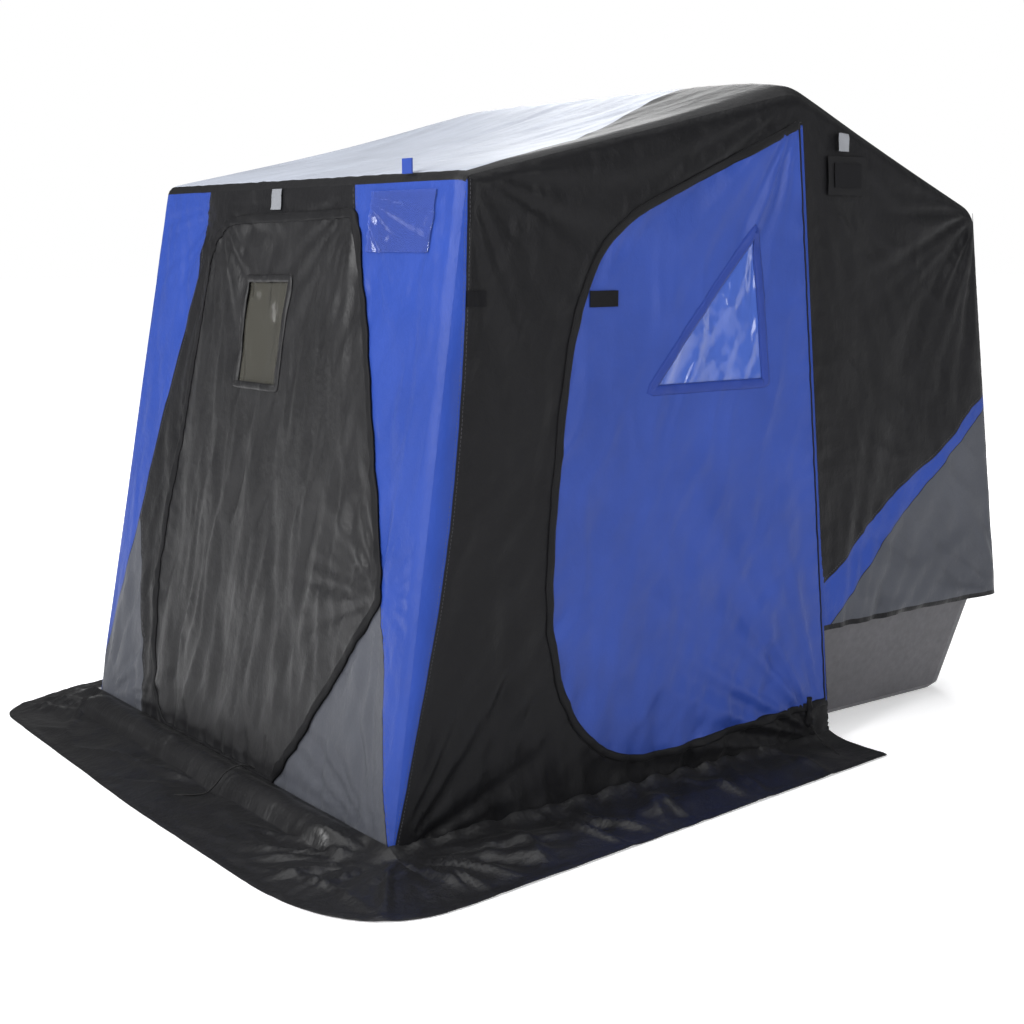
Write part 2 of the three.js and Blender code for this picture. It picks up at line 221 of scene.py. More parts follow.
def signed_distance(points, outline):
    """Distance from each point to a closed outline, positive inside."""
    outline = np.array(outline, float)
    nearest = np.full(len(points), np.inf)
    inside = np.zeros(len(points), bool)
    for a, b in zip(outline, np.roll(outline, -1, 0)):
        edge = b - a
        length = edge @ edge
        if length < 1e-14:
            continue
        t = np.clip(((points - a) @ edge) / length, 0, 1)
        nearest = np.minimum(nearest, np.linalg.norm(points - a - t[:, None] * edge, axis=1))
        if a[1] != b[1]:
            crosses = (a[1] > points[:, 1]) != (b[1] > points[:, 1])
            at = a[0] + (points[:, 1] - a[1]) * (b[0] - a[0]) / (b[1] - a[1])
            inside ^= crosses & (points[:, 0] < at)
    return np.where(inside, nearest, -nearest)


RIDGE = (PEAK[0] - 0.012, PEAK[1] + 0.018)      # the cloth stands a little above the middle bar
HOOP_BEND = 0.085
ROOF_LINE = (arc_corner(FRONT_FOOT, FRONT_TOP, PEAK, 0.035)
             + arc_corner(FRONT_TOP, RIDGE, REAR_TOP, 0.17)
             + arc_corner(PEAK, REAR_TOP, REAR_HEM, HOOP_BEND))
SIDE_OUTLINE = [FRONT_FOOT] + ROOF_LINE + [REAR_HEM, (HEM_SEAM_Y, REAR_HEM[1]), SEAM_FOOT]
SIDE_DOOR = ([(1.513, 1.908), (0.930, 1.672)]
             + bezier((0.930, 1.672), (0.705, 1.585), (0.650, 1.310))
             + bezier((0.650, 1.310), (0.567, 0.930), (0.547, 0.640))
             + bezier((0.547, 0.640), (0.540, 0.300), (0.660, 0.097), (0.940, 0.097))
             + [(1.632, 0.140)])
SIDE_WINDOW = [(0.950, 1.167), (1.363, 1.167), (1.331, 1.579)]
BLUE_BAND_TOP = [(1.56, 0.470), (1.64, 0.522), (1.753, 0.592), (1.838, 0.672), (1.993, 0.772),
                 (2.180, 0.868), (2.262, 0.925), (2.360, 1.018), (2.440, 1.062), (2.60, 1.15)]
BLUE_BAND_FOOT = [(1.56, 0.300), (1.640, 0.362), (1.849, 0.540), (1.995, 0.668), (2.196, 0.818),
                  (2.394, 0.985), (2.60, 1.13)]
FRONT_DOOR = ([(-0.390, 0.034), (0.290, 0.034), (0.741, 0.640), (0.373, 1.646), (-0.300, 1.632)]
              + bezier((-0.300, 1.632), (-0.440, 1.625), (-0.464, 1.500))
              + bezier((-0.464, 1.500), (-0.515, 1.200), (-0.546, 0.900))
              + bezier((-0.546, 0.900), (-0.615, 0.420), (-0.535, 0.220))
              + bezier((-0.535, 0.220), (-0.490, 0.060), (-0.390, 0.034))[:-1])
FRONT_WINDOW = [(-0.198, 1.146), (0.037, 1.148), (0.060, 1.454), (-0.198, 1.449)]
BLUE_LEFT = [(-1.2, -0.1), (-1.2, 1.9), (-0.510, 1.9), (-0.518, 1.741), (-0.537, 1.630),
             (-0.577, 1.385), (-0.690, 0.984), (-0.755, 0.670), (-0.939, 0.010), (-0.96, -0.1)]
BLUE_RIGHT = [(0.300, 1.9), (1.2, 1.9), (1.2, -0.1), (0.955, -0.1), (0.936, 0.010), (0.868, 0.197),
              (0.811, 0.392), (0.741, 0.640), (0.567, 1.068), (0.415, 1.518), (0.346, 1.750)]
GREY_LEFT = [(-0.755, 0.670), (-0.540, -0.1), (-1.0, -0.1), (-0.939, 0.010)]
GREY_RIGHT = [(0.741, 0.640), (0.811, 0.392), (0.868, 0.197), (0.936, 0.010), (0.97, -0.1),
              (0.21, -0.1)]


# ---- Cloth meshes
def ring_points(outline, pitch):
    """Closed outline with points no further apart than the pitch, its own corners kept."""
    points = []
    for a, b in zip(outline, outline[1:] + outline[:1]):
        a, b = np.array(a, float), np.array(b, float)
        steps = max(1, math.ceil(np.linalg.norm(b - a) / pitch))
        points += [a + (b - a) * i / steps for i in range(steps)]
    return np.array(points)


def fill(outline, holes=(), cuts=(), pitch=PITCH):
    """Flat points and triangles that fill an outline less its holes, with edges along the cuts."""
    rings = [ring_points(list(ring), pitch) for ring in (outline, *holes)]
    lines = [resample(cut, pitch) for cut in cuts]
    low, high = rings[0].min(0), rings[0].max(0)
    rows = np.arange(low[1], high[1], pitch * ROW_PITCH)
    columns = np.arange(low[0], high[0] + pitch, pitch)
    u, v = np.meshgrid(columns, rows)
    u[1::2] += pitch / 2
    inner = np.stack([u.ravel(), v.ravel()], 1)
    clear = np.full(len(inner), True)
    for sign, ring in zip([1] + [-1] * len(holes), (outline, *holes)):
        clear &= sign * signed_distance(inner, ring) > pitch * 0.45
    for line in lines:
        gap = np.min(np.linalg.norm(inner[:, None] - line[None], axis=2), axis=1)
        clear &= gap > pitch * 0.55
    points, edges = [], []
    for ring in rings:
        first = len(points)
        points += ring.tolist()
        edges += [(first + i, first + (i + 1) % len(ring)) for i in range(len(ring))]
    for line in lines:
        first = len(points)
        points += line.tolist()
        edges += [(first + i, first + i + 1) for i in range(len(line) - 1)]
    points += inner[clear].tolist()
    result = delaunay_2d_cdt([Vector(p) for p in points], edges, [], 0, 1e-5, False)
    flat = np.array([tuple(p) for p in result[0]])
    faces = np.array([tuple(f) for f in result[2] if len(f) == 3])
    middle = flat[faces].mean(1)
    keep = signed_distance(middle, outline) > 0
    for hole in holes:
        keep &= signed_distance(middle, hole) < 0
    faces = faces[keep]
    a, b, c = (flat[faces[:, i]] for i in range(3))
    area = (b[:, 0] - a[:, 0]) * (c[:, 1] - a[:, 1]) - (b[:, 1] - a[:, 1]) * (c[:, 0] - a[:, 0])
    faces = np.where((area < 0)[:, None], faces[:, ::-1], faces)[np.abs(area) > 1e-9]
    return compact(faces, flat)


def round_edge(distance, radius):
    """How far a sheet sinks, and moves in from its edge, where it turns over a round corner."""
    turn = np.radians(45 * (1 - np.clip(distance / radius, 0, 1)))
    inside = distance < radius
    sink = np.where(inside, radius * (1 - np.cos(turn)), 0.0)
    shift = np.where(inside, radius * (1 - np.sin(turn)) - distance, 0.0)
    return sink, shift


def compact(faces, *arrays):
    used, back = np.unique(faces, return_inverse=True)
    return (back.reshape(faces.shape), *(a[used] for a in arrays))


def vertex_normals(points, faces):
    a, b, c = (points[faces[:, i]] for i in range(3))
    flat = np.cross(b - a, c - a)
    normals = np.zeros_like(points)
    for i in range(3):
        np.add.at(normals, faces[:, i], flat)
    return normals / np.maximum(np.linalg.norm(normals, axis=1, keepdims=True), 1e-12)


class Cloth:
    """A sheet in space: points, triangles, flat coordinates, normals and named distances."""

    def __init__(self, points, faces, flat, marks):
        self.points, self.faces, self.flat, self.marks = points, faces, flat, marks
        self.normals = vertex_normals(points, faces)

    def part(self, keep):
        """The piece of the sheet with the faces where keep is true. Normals stay the sheet's."""
        piece = object.__new__(Cloth)
        faces, points, flat, normals, *marks = compact(
            self.faces[keep], self.points, self.flat, self.normals, *self.marks.values())
        piece.points, piece.faces, piece.flat, piece.normals = points, faces, flat, normals
        piece.marks = dict(zip(self.marks, marks))
        return piece

    def area(self):
        a, b, c = (self.points[self.faces[:, i]] for i in range(3))
        return float(np.linalg.norm(np.cross(b - a, c - a), axis=1).sum() / 2)

    def build(self, name, material, thickness=CLOTH):
        """A closed thin mesh: the outer skin, the inner one and the rim between them."""
        count = len(self.points)
        points = np.concatenate([self.points, self.points - self.normals * thickness])
        edges = np.concatenate([self.faces[:, [i, (i + 1) % 3]] for i in range(3)])
        keys = {(a, b) for a, b in edges.tolist()}
        rim = [(b, a, a + count, b + count) for a, b in sorted(keys) if (b, a) not in keys]
        faces = self.faces.tolist() + (self.faces[:, ::-1] + count).tolist() + rim
        mesh = bpy.data.meshes.new(name)
        mesh.from_pydata((points + ORIGIN).tolist(), [], faces)
        mesh.validate()
        mesh.shade_smooth()
        set_uv(mesh, np.concatenate([self.flat, self.flat]))
        for mark, values in self.marks.items():
            attribute = mesh.attributes.new(mark, "FLOAT", "POINT")
            attribute.data.foreach_set("value", np.concatenate([values, values]).astype(np.float32))
        mesh.materials.append(material)
        normals = np.concatenate([self.normals, -self.normals])
        mesh.normals_split_custom_set_from_vertices(normals.tolist())
        return put(name, mesh)


def declare_sheet(cloth):
    """Works out the smaller of two rectangles round the flat outline, and an area, and passes them nowhere.

    The area is the displaced cloth's, not the flat outline's, and it is kept between LEAST_FILL and
    the whole of the rectangle.
    """
    along = np.linalg.svd(cloth.flat - cloth.flat.mean(0), full_matrices=False)[2]
    boxes = [np.ptp(cloth.flat, axis=0), np.ptp(cloth.flat @ along.T, axis=0)]
    width, length = (float(max(LEAST_WIDTH, s)) for s in min(boxes, key=np.prod))
    area = float(np.clip(cloth.area(), LEAST_FILL * width * length, width * length))


# ---- Materials
class Nodes:
    """Short calls that add and join a material's nodes."""

    def __init__(self, name):
        self.material = bpy.data.materials.new(name)
        self.material.use_nodes = True
        self.tree = self.material.node_tree
        self.shader = self.tree.nodes["Principled BSDF"]

    def add(self, kind, inputs=None, **settings):
        node = self.tree.nodes.new("ShaderNode" + kind)
        for key, value in settings.items():
            setattr(node, key, value)
        for key, value in (inputs or {}).items():
            self.feed(node.inputs[key], value)
        return node

    def feed(self, socket, value):
        if isinstance(value, bpy.types.NodeSocket):
            self.tree.links.new(value, socket)
        else:
            socket.default_value = value

    def math(self, operation, a, b=0.0):
        return self.add("Math", {0: a, 1: b}, operation=operation).outputs[0]

    def remap(self, value, low, high, to_low, to_high):
        inputs = {"Value": value, "From Min": low, "From Max": high, "To Min": to_low,
                  "To Max": to_high}
        return self.add("MapRange", inputs).outputs[0]

    def shade(self, colour, value, low, high, dark, light):
        """The colour, darker and lighter as value goes from low to high."""
        tone = self.remap(value, low, high, dark, light)
        return self.add("HueSaturation", {"Color": colour, "Value": tone}).outputs[0]

    def mark(self, name):
        return self.add("Attribute", attribute_name=name).outputs["Fac"]

    def mix(self, share, a, b):
        node = self.add("Mix", data_type="RGBA")
        self.feed(node.inputs["Factor"], share)
        self.feed(node.inputs["A"], a)
        self.feed(node.inputs["B"], b)
        return node.outputs["Result"]

    def flat_place(self):
        return self.add("UVMap", uv_map="UVMap").outputs["UV"]

    def own_place(self):
        return self.add("TexCoord").outputs["Object"]

    def noise(self, place, scale, detail=4.0, roughness=0.55, stretch=None):
        if stretch:
            place = self.add("Mapping", {"Vector": place, "Scale": stretch}).outputs[0]
        inputs = {"Vector": place, "Scale": scale, "Detail": detail, "Roughness": roughness}
        return self.add("TexNoise", inputs).outputs["Fac"]

    def bump(self, height, strength, distance, normal=None):
        inputs = {"Height": height, "Strength": strength, "Distance": distance}
        if normal:
            inputs["Normal"] = normal
        return self.add("Bump", inputs).outputs["Normal"]

    def finish(self, **inputs):
        names = {"color": "Base Color", "roughness": "Roughness", "metallic": "Metallic",
                 "normal": "Normal", "specular": "Specular IOR Level", "sheen": "Sheen Weight",
                 "sheen_roughness": "Sheen Roughness", "alpha": "Alpha", "coat": "Coat Weight",
                 "coat_roughness": "Coat Roughness", "transmission": "Transmission Weight",
                 "ior": "IOR"}
        for key, value in inputs.items():
            self.feed(self.shader.inputs[names[key]], value)
        return self.material


def srgb(red, green, blue):
    """A screen colour of 0 to 255 a channel as linear light."""
    return tuple(((c / 255 + 0.055) / 1.055) ** 2.4 if c > 10 else c / 3295
                 for c in (red, green, blue)) + (1.0,)


BLACK = srgb(17, 17, 19)
BLUE = srgb(34, 57, 127)
GREY = srgb(63, 65, 71)
SILVER = srgb(158, 163, 174)
STITCH = srgb(70, 70, 74)
WEAVE_SCALE = 1400.0 / 6.283
WEAVE_HEIGHT = 0.00012
SEAM_HALF = 0.0016       # half the width of a sewn seam
STITCH_OUT = 0.008       # distance of the stitches from a seam
STITCH_HALF = 0.0006
HEM_BAND = 0.016
SEAM_COLOUR = (0.004, 0.004, 0.005, 1)
SHEEN = 0.02


def weave(nodes, place):
    """Fine plain weave: two crossed sets of threads."""
    bands = []
    for axis in ("X", "Y"):
        wave = nodes.add("TexWave", {"Vector": place, "Scale": WEAVE_SCALE,
                                     "Distortion": 0.6, "Detail": 1.0, "Detail Scale": 3.0},
                         wave_type="BANDS", bands_direction=axis)
        bands.append(wave.outputs["Fac"])
    threads = nodes.math("MULTIPLY", bands[0], bands[1])
    return nodes.bump(threads, 0.35, WEAVE_HEIGHT)


def crinkle(nodes, place, normal, strength=0.5):
    """Small creases of coated fabric, at three sizes, the middle one with sharp ridges."""
    coarse = nodes.noise(place, 9.0, 5.0, 0.62, stretch=(1.0, 0.55, 1.0))
    long = nodes.add("Mapping", {"Vector": place, "Scale": (1.0, 0.4, 1.0)}).outputs[0]
    sharp = nodes.add("TexNoise", {"Vector": long, "Scale": 7.0, "Detail": 3.0, "Roughness": 0.55,
                                   "Distortion": 0.8}, noise_type="RIDGED_MULTIFRACTAL",
                      normalize=True).outputs["Fac"]
    fine = nodes.noise(place, 34.0, 4.0, 0.6)
    first = nodes.bump(coarse, strength, 0.012, normal)
    second = nodes.bump(sharp, strength, 0.009, first)
    return nodes.bump(fine, strength * 0.6, 0.003, second)


def fabric(name, base, panels=(), roughness=0.43, specular=0.30, crinkled=0.55, edge_mark=None):
    """Woven coated cloth. panels are (mark, colour): the colour where that distance is positive."""
    nodes = Nodes(name)
    place = nodes.flat_place()
    colour = base
    for mark, panel_colour in panels:
        distance = nodes.mark(mark)
        inside = nodes.math("GREATER_THAN", distance, 0.0)
        colour = nodes.mix(inside, colour, panel_colour)
    for mark, _ in panels:
        distance = nodes.math("ABSOLUTE", nodes.mark(mark))
        seam = nodes.math("LESS_THAN", distance, SEAM_HALF)
        colour = nodes.mix(nodes.math("MULTIPLY", seam, 0.75), colour, SEAM_COLOUR)
        offset = nodes.math("ABSOLUTE", nodes.math("SUBTRACT", distance, STITCH_OUT))
        line = nodes.math("LESS_THAN", offset, STITCH_HALF)
        dash = nodes.add("TexWave", {"Vector": place, "Scale": 52.0}, bands_direction="DIAGONAL")
        dashes = nodes.math("GREATER_THAN", dash.outputs["Fac"], 0.35)
        colour = nodes.mix(nodes.math("MULTIPLY", line, dashes), colour, STITCH)
    if edge_mark:
        band = nodes.math("LESS_THAN", nodes.mark(edge_mark), HEM_BAND)
        colour = nodes.mix(band, colour, srgb(20, 20, 22))
    wear = nodes.noise(place, 3.1, 6.0, 0.6)
    shaded = nodes.shade(colour, wear, 0.3, 0.7, 0.88, 1.10)
    rough = nodes.remap(nodes.noise(place, 6.0, 4.0), 0.3, 0.7, roughness - 0.06, roughness + 0.08)
    normal = crinkle(nodes, place, weave(nodes, place), crinkled)
    return nodes.finish(color=shaded, roughness=rough, normal=normal, specular=specular,
                        sheen=SHEEN, sheen_roughness=0.4)


def moulded_plastic(name, colour, roughness=0.5):
    nodes = Nodes(name)
    place = nodes.own_place()
    blotch = nodes.noise(place, 5.0, 6.0, 0.65)
    shaded = nodes.shade(colour, blotch, 0.3, 0.7, 0.85, 1.15)
    pebble = nodes.add("TexVoronoi", {"Vector": place, "Scale": 260.0}).outputs["Distance"]
    normal = nodes.bump(pebble, 0.25, 0.0006, nodes.bump(blotch, 0.3, 0.006))
    scuffs = nodes.noise(place, 40.0, 3.0, 0.7, stretch=(0.2, 1.0, 1.0))
    rough = nodes.remap(scuffs, 0.3, 0.7, roughness - 0.08, roughness + 0.1)
    return nodes.finish(color=shaded, roughness=rough, normal=normal, specular=0.4)


def metal(name, colour, roughness=0.35):
    nodes = Nodes(name)
    place = nodes.own_place()
    brushed = nodes.noise(place, 60.0, 3.0, 0.5, stretch=(0.1, 1.0, 1.0))
    rough = nodes.remap(brushed, 0.0, 1.0, roughness - 0.1, roughness + 0.12)
    return nodes.finish(color=colour, roughness=rough, metallic=1.0,
                        normal=nodes.bump(brushed, 0.08, 0.0005))


def vinyl(name, colour, alpha):
    """Clear flexible window sheet with broad ripples and a few scratches."""
    nodes = Nodes(name)
    place = nodes.flat_place()
    ripple = nodes.noise(place, 8.0, 2.0, 0.5, stretch=(1.0, 0.30, 1.0))
    dent = nodes.noise(place, 24.0, 1.0, 0.5, stretch=(1.0, 0.55, 1.0))
    normal = nodes.bump(dent, 0.6, 0.006, nodes.bump(ripple, 1.0, 0.035))
    return nodes.finish(color=colour, roughness=0.12, normal=normal, specular=0.6, alpha=alpha,
                        coat=0.5)


def bright_sheen(name):
    """Aluminium-coated roof cloth with streaks that run down its slope."""
    nodes = Nodes(name)
    place = nodes.flat_place()
    streaks = nodes.noise(place, 26.0, 5.0, 0.7, stretch=(1.0, 0.05, 1.0))
    blotch = nodes.noise(place, 3.0, 4.0, 0.6)
    silver = nodes.shade(SILVER, nodes.math("ADD", streaks, blotch), 0.7, 1.35, 0.78, 1.08)
    edge = nodes.mark("black")
    inside = nodes.math("GREATER_THAN", edge, 0.0)
    colour = nodes.mix(inside, silver, BLACK)
    seam = nodes.math("LESS_THAN", nodes.math("ABSOLUTE", edge), SEAM_HALF)
    colour = nodes.mix(seam, colour, (0.01, 0.01, 0.012, 1))
    normal = crinkle(nodes, place, weave(nodes, place), 0.5)
    rough = nodes.remap(streaks, 0.0, 1.0, 0.42, 0.62)
    return nodes.finish(color=colour, roughness=rough, normal=normal, specular=0.22)


MATERIAL = {
    "front": fabric("front_cloth", BLACK, [("blue", BLUE), ("grey", GREY)], specular=0.16),
    "side": fabric("side_cloth", BLACK, [("blue", BLUE), ("grey", GREY)], specular=0.10,
                   edge_mark="hem"),
    "black": fabric("black_cloth", BLACK),
    "skirt": fabric("skirt_cloth", srgb(14, 14, 16), roughness=0.40, specular=0.36, crinkled=0.7),
    "blue": fabric("blue_cloth", BLUE, specular=0.20, crinkled=0.30),
    "blue_trim": fabric("blue_trim", srgb(30, 50, 118), specular=0.15, crinkled=0.1),
    "roof": bright_sheen("roof_cloth"),
    # The front window's grey-green, nearly opaque, is painted shade: the dim inside of the shelter as seen
    # through the clear sheet.
    "vinyl": vinyl("window_vinyl", srgb(58, 57, 52), 0.90),
    "blue_vinyl": vinyl("side_window_vinyl", srgb(58, 84, 160), 0.90),
    "pocket_vinyl": vinyl("pocket_vinyl", srgb(60, 78, 150), 0.40),
    "sled": moulded_plastic("sled_plastic", srgb(65, 64, 68), 0.55),
    "runner": moulded_plastic("runner_plastic", srgb(30, 30, 32)),
    "tube": metal("tube_metal", (0.62, 0.63, 0.65, 1)),
    "steel": metal("bracket_steel", (0.42, 0.43, 0.45, 1), 0.42),
    "binding": fabric("binding_tape", srgb(15, 15, 17), roughness=0.6, specular=0.12, crinkled=0.2),
    "tag": fabric("reflective_tape", srgb(112, 114, 119), roughness=0.45, specular=0.4, crinkled=0.1),
    "pull": moulded_plastic("pull_rubber", srgb(9, 9, 10), 0.85),
    "hook": fabric("hook_and_loop", srgb(18, 18, 20), roughness=0.9, specular=0.1, crinkled=0.2),
}


# ---- Side walls
def seam_y(z):
    return SEAM_FOOT[0] + (PEAK[0] - SEAM_FOOT[0]) * z / PEAK[1]


def along_line(y, z, a, b):
    """Distance from points to the line through a and b, and the distance along it."""
    direction = np.array(b, float) - np.array(a, float)
    direction /= np.linalg.norm(direction)
    dy, dz = y - a[0], z - a[1]
    return np.abs(dy * direction[1] - dz * direction[0]), dy * direction[0] + dz * direction[1]


def radiate(u, v, centre, reach, count, seed):
    """Folds that fan out from a point where the cloth is pulled."""
    radius = np.hypot(u - centre[0], v - centre[1])
    angle = np.arctan2(v - centre[1], u - centre[0])
    wave = NOISES[seed](angle * count, radius / 0.7)
    return wave * near(radius, reach) * np.clip(radius / 0.12, 0, 1)


def pleats(run, height):
    """Gathers along the foot of a wall, the same on the wall and on the skirt sewn to it."""
    wave = NOISES[9](run / 0.055 + height / 0.30, height / 0.40) + 0.6 * NOISES[10](run / 0.12, height / 0.5)
    return 0.7 * wave + 0.5 * (0.2 - np.abs(wave))


SHELL = [FRONT_FOOT] + ROOF_LINE + [REAR_HEM, (REAR_HEM[0] - 0.2, -1.0), (0.0, -1.0)]
EDGE_RADIUS = 0.055
STIFF_PLACE = (1.71, 1.80)       # the cloth lies flat here, under the tag and the vent


def side_relief(y, z):
    """How far the side cloth stands out of its flat plane."""
    front, front_run = along_line(y, z, FRONT_FOOT, FRONT_TOP)
    seam, seam_run = along_line(y, z, SEAM_FOOT, PEAK)
    roof_front, roof_run = along_line(y, z, FRONT_TOP, PEAK)
    roof_rear, rear_run = along_line(y, z, PEAK, REAR_TOP)
    back, back_run = along_line(y, z, REAR_HEM, REAR_TOP)
    edge = np.minimum.reduce([front, seam, roof_front, roof_rear, back])
    relief = -0.018 * (1 - near(edge, 0.30))
    inner = 1 - near(edge, 0.09)
    ahead = y < seam_y(z)
    low = near(z, 0.55)
    slack = np.where(ahead, 0.55 + 1.25 * low, 0.50 + 0.5 * near(z - REAR_HEM[1], 0.45))
    for angle, share in ((66, ahead), (128, ~ahead)):
        relief += share * inner * slack * (
            0.0110 * folds(y, z, angle, 0.17, 1.1, 0) + 0.0080 * folds(y, z, angle + 14, 0.085, 0.7, 1)
            + 0.0040 * folds(y, z, angle - 24, 0.055, 0.4, 2))
        relief += share * inner * 0.0042 * creases(y, z, angle + 6, 0.12, 0.6, 3)
    pulls = ((FRONT_TOP, 0.55, 7, 4), (PEAK, 0.60, 8, 5), (SEAM_FOOT, 0.85, 10, 6),
             (REAR_TOP, 0.50, 7, 7), (REAR_HEM, 0.45, 6, 8), (FRONT_FOOT, 0.55, 7, 9))
    for centre, reach, count, seed in pulls:
        relief += 0.024 * radiate(y, z, centre, reach, count, seed) * (1 - near(edge, 0.05))
    for distance, run, size, seed in ((front, front_run, 0.0030, 4), (seam, seam_run, 0.0042, 5),
                                      (roof_front, roof_run, 0.0040, 6),
                                      (roof_rear, rear_run, 0.0040, 7), (back, back_run, 0.0036, 8)):
        wave = NOISES[seed](run / 0.042, distance / 0.20)
        relief += size * wave * near(distance, 0.075) * (1 - near(distance, 0.012))
    relief *= 1 - near(np.hypot(y - STIFF_PLACE[0], z - STIFF_PLACE[1]), 0.17)
    base = np.where(ahead, z, 9.0)
    opening = signed_distance(np.stack([y, z], 1), SIDE_DOOR)
    relief += 0.026 * pleats(y, z) * near(base - 0.03, 0.20) * near(opening + 0.16, 0.16)
    relief += 0.016 * pleats(y, z) * near(base, 0.10)
    rear_hem = np.where(ahead, 9.0, z - REAR_HEM[1])
    away_from_seam = 1 - near(seam, 0.16)
    relief += 0.020 * folds(y, z, 8, 0.10, 0.7, 11) * near(rear_hem - 0.08, 0.26) * away_from_seam
    rim_wave = NOISES[3](y / 0.05 - z / 0.06, (y + z) / 0.11)
    relief += 0.0042 * rim_wave * near(opening, 0.05) * (seam > 0.02)
    relief += 0.0020 * near(opening + 0.016, 0.009)
    return relief


LEAN = math.atan(SIDE_LEAN)


def side_point(side, y, z, out=0.0):
    """Cabin coordinates of points on a side wall, rounded over at its edges."""
    place = np.stack([y, z], 1)
    distance = np.maximum(signed_distance(place, SHELL), 0.0)
    step = 1e-4
    slope = np.stack([signed_distance(place + offset, SHELL) for offset in ((step, 0), (0, step))], 1)
    slope = (slope - signed_distance(place, SHELL)[:, None]) / step
    sink, shift = round_edge(distance, EDGE_RADIUS)
    y, z = (place + slope * shift[:, None]).T
    offset = side_relief(place[:, 0], place[:, 1]) * np.clip(distance / 0.03, 0, 1) + out - sink
    x = side * (half_width(z) + offset * math.cos(LEAN))
    return np.stack([x, y, np.maximum(z + offset * math.sin(LEAN), FLOOR_GAP)], 1)


def fan_angle(centre, y, z):
    return np.degrees(np.arctan2(z - centre[1], y - centre[0])) % 360


def angle_to(centre, point):
    return math.degrees(math.atan2(point[1] - centre[1], point[0] - centre[0])) % 360


ARM = {"rear": angle_to(PIVOT, REAR_TOP), "mid": angle_to(PIVOT, PEAK),
       "front": angle_to(PIVOT, FRONT_TOP)}
# Each part of the side cloth: the body that it rides on, the line that it would gather along as the hoops
# fold, by a point on it and its direction, and how much of its depth would be left. Only the body is used.
FRONT_SLOPE = angle_to(FRONT_FOOT, FRONT_TOP)
FANS = {
    "rear_low": ("rear_hoop", PIVOT, ARM["rear"], 0.16),
    "rear_high": ("rear_hoop", PIVOT, ARM["rear"], 0.12),
    "front_high": ("mid_hoop", PIVOT, ARM["mid"], 0.12),
    "seam": ("mid_hoop", PIVOT, ARM["mid"], 0.12),
    "front_low": ("front_wall", FRONT_FOOT, FRONT_SLOPE, 0.10),
}


def gather(piece, fan):
    """The cloth rides on the fan's body, with a mesh of its own."""
    body, (y, z), direction, keep = FANS[fan]
    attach(piece, body)
    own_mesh(piece)


def side_fan(y, z):
    """Which fan each point of a side wall belongs to."""
    angle = fan_angle(PIVOT, y, z)
    ahead = y < seam_y(z)
    front = np.where((angle < ARM["front"]) & (angle > 60), "front_high", "front_low")
    (top_y, top_z), (foot_y, foot_z) = SIDE_DOOR[0], SIDE_DOOR[-1]
    hinge_y = np.interp(z, (foot_z, top_z), (foot_y, top_y))
    front = np.where((z > PIVOT[1]) & (z < top_z) & (y > hinge_y), "seam", front)
    rear = np.where((angle > ARM["rear"]) & (angle < 180), "rear_high", "rear_low")
    return np.where(ahead, front, rear)


def split_fans(cloth, label):
    middle = cloth.points[cloth.faces].mean(1)
    fans = side_fan(middle[:, 1], middle[:, 2])
    for fan in FANS:
        part = cloth.part(fans == fan)
        piece = part.build(f"side_cloth_{label}_{fan}", MATERIAL["side"])
        declare_sheet(part)
        gather(piece, fan)
        describe(piece,
                 f"rear_side_{label}" if fan.startswith("rear") else f"side_wall_{label}")


def side_marks(flat):
    band = BLUE_BAND_TOP + BLUE_BAND_FOOT[::-1]
    under = BLUE_BAND_FOOT + [(2.7, 0.2), (1.5, 0.2)]
    hem = np.where(flat[:, 0] > seam_y(flat[:, 1]) - 0.002, flat[:, 1] - REAR_HEM[1], 1.0)
    back, _ = along_line(flat[:, 0], flat[:, 1], REAR_HEM, REAR_TOP)
    low_back = np.where(flat[:, 1] < 1.06, back, 1.0)
    rear = flat[:, 0] > seam_y(flat[:, 1]) + 0.001
    front, _ = along_line(flat[:, 0], flat[:, 1], FRONT_FOOT, FRONT_TOP)
    bow = 0.070 * np.sin(math.pi * np.clip(flat[:, 1] / FRONT_TOP[1], 0, 1)) + 0.002
    seam, _ = along_line(flat[:, 0], flat[:, 1], SEAM_FOOT, PEAK)
    strip = np.minimum.reduce([0.024 - seam, flat[:, 1] - SIDE_DOOR[-1][1], SIDE_DOOR[0][1] - flat[:, 1]])
    return {"blue": np.where(rear, signed_distance(flat, band), np.maximum(bow - front, strip)),
            "grey": np.where(rear, signed_distance(flat, under), -1.0),
            "hem": np.minimum(hem, low_back)}


FAN_LINES = [[PIVOT, FRONT_TOP], [PIVOT, REAR_TOP], [SEAM_FOOT, (HEM_SEAM_Y, REAR_HEM[1])],
             [(HEM_SEAM_Y, REAR_HEM[1]), PEAK],
             [SIDE_DOOR[0], (seam_y(SIDE_DOOR[0][1]), SIDE_DOOR[0][1])]]


def add_side_wall(label, side):
    faces, flat = fill(SIDE_OUTLINE, [SIDE_DOOR], FAN_LINES)
    if side < 0:
        faces = faces[:, ::-1]
    cloth = Cloth(side_point(side, flat[:, 0], flat[:, 1]), faces, flat, side_marks(flat))
    split_fans(cloth, label)


def side_sheet(name, side, outline, holes, out, material, body, node, pitch=PITCH):
    """A sheet of a side door, laid over the wall's own relief."""
    faces, flat = fill(outline, holes, pitch=pitch)
    if side < 0:
        faces = faces[:, ::-1]
    cloth = Cloth(side_point(side, flat[:, 0], flat[:, 1], out), faces, flat, {})
    piece = cloth.build(name, material)
    declare_sheet(cloth)
    describe(piece, node)
    ride_door(piece, body)


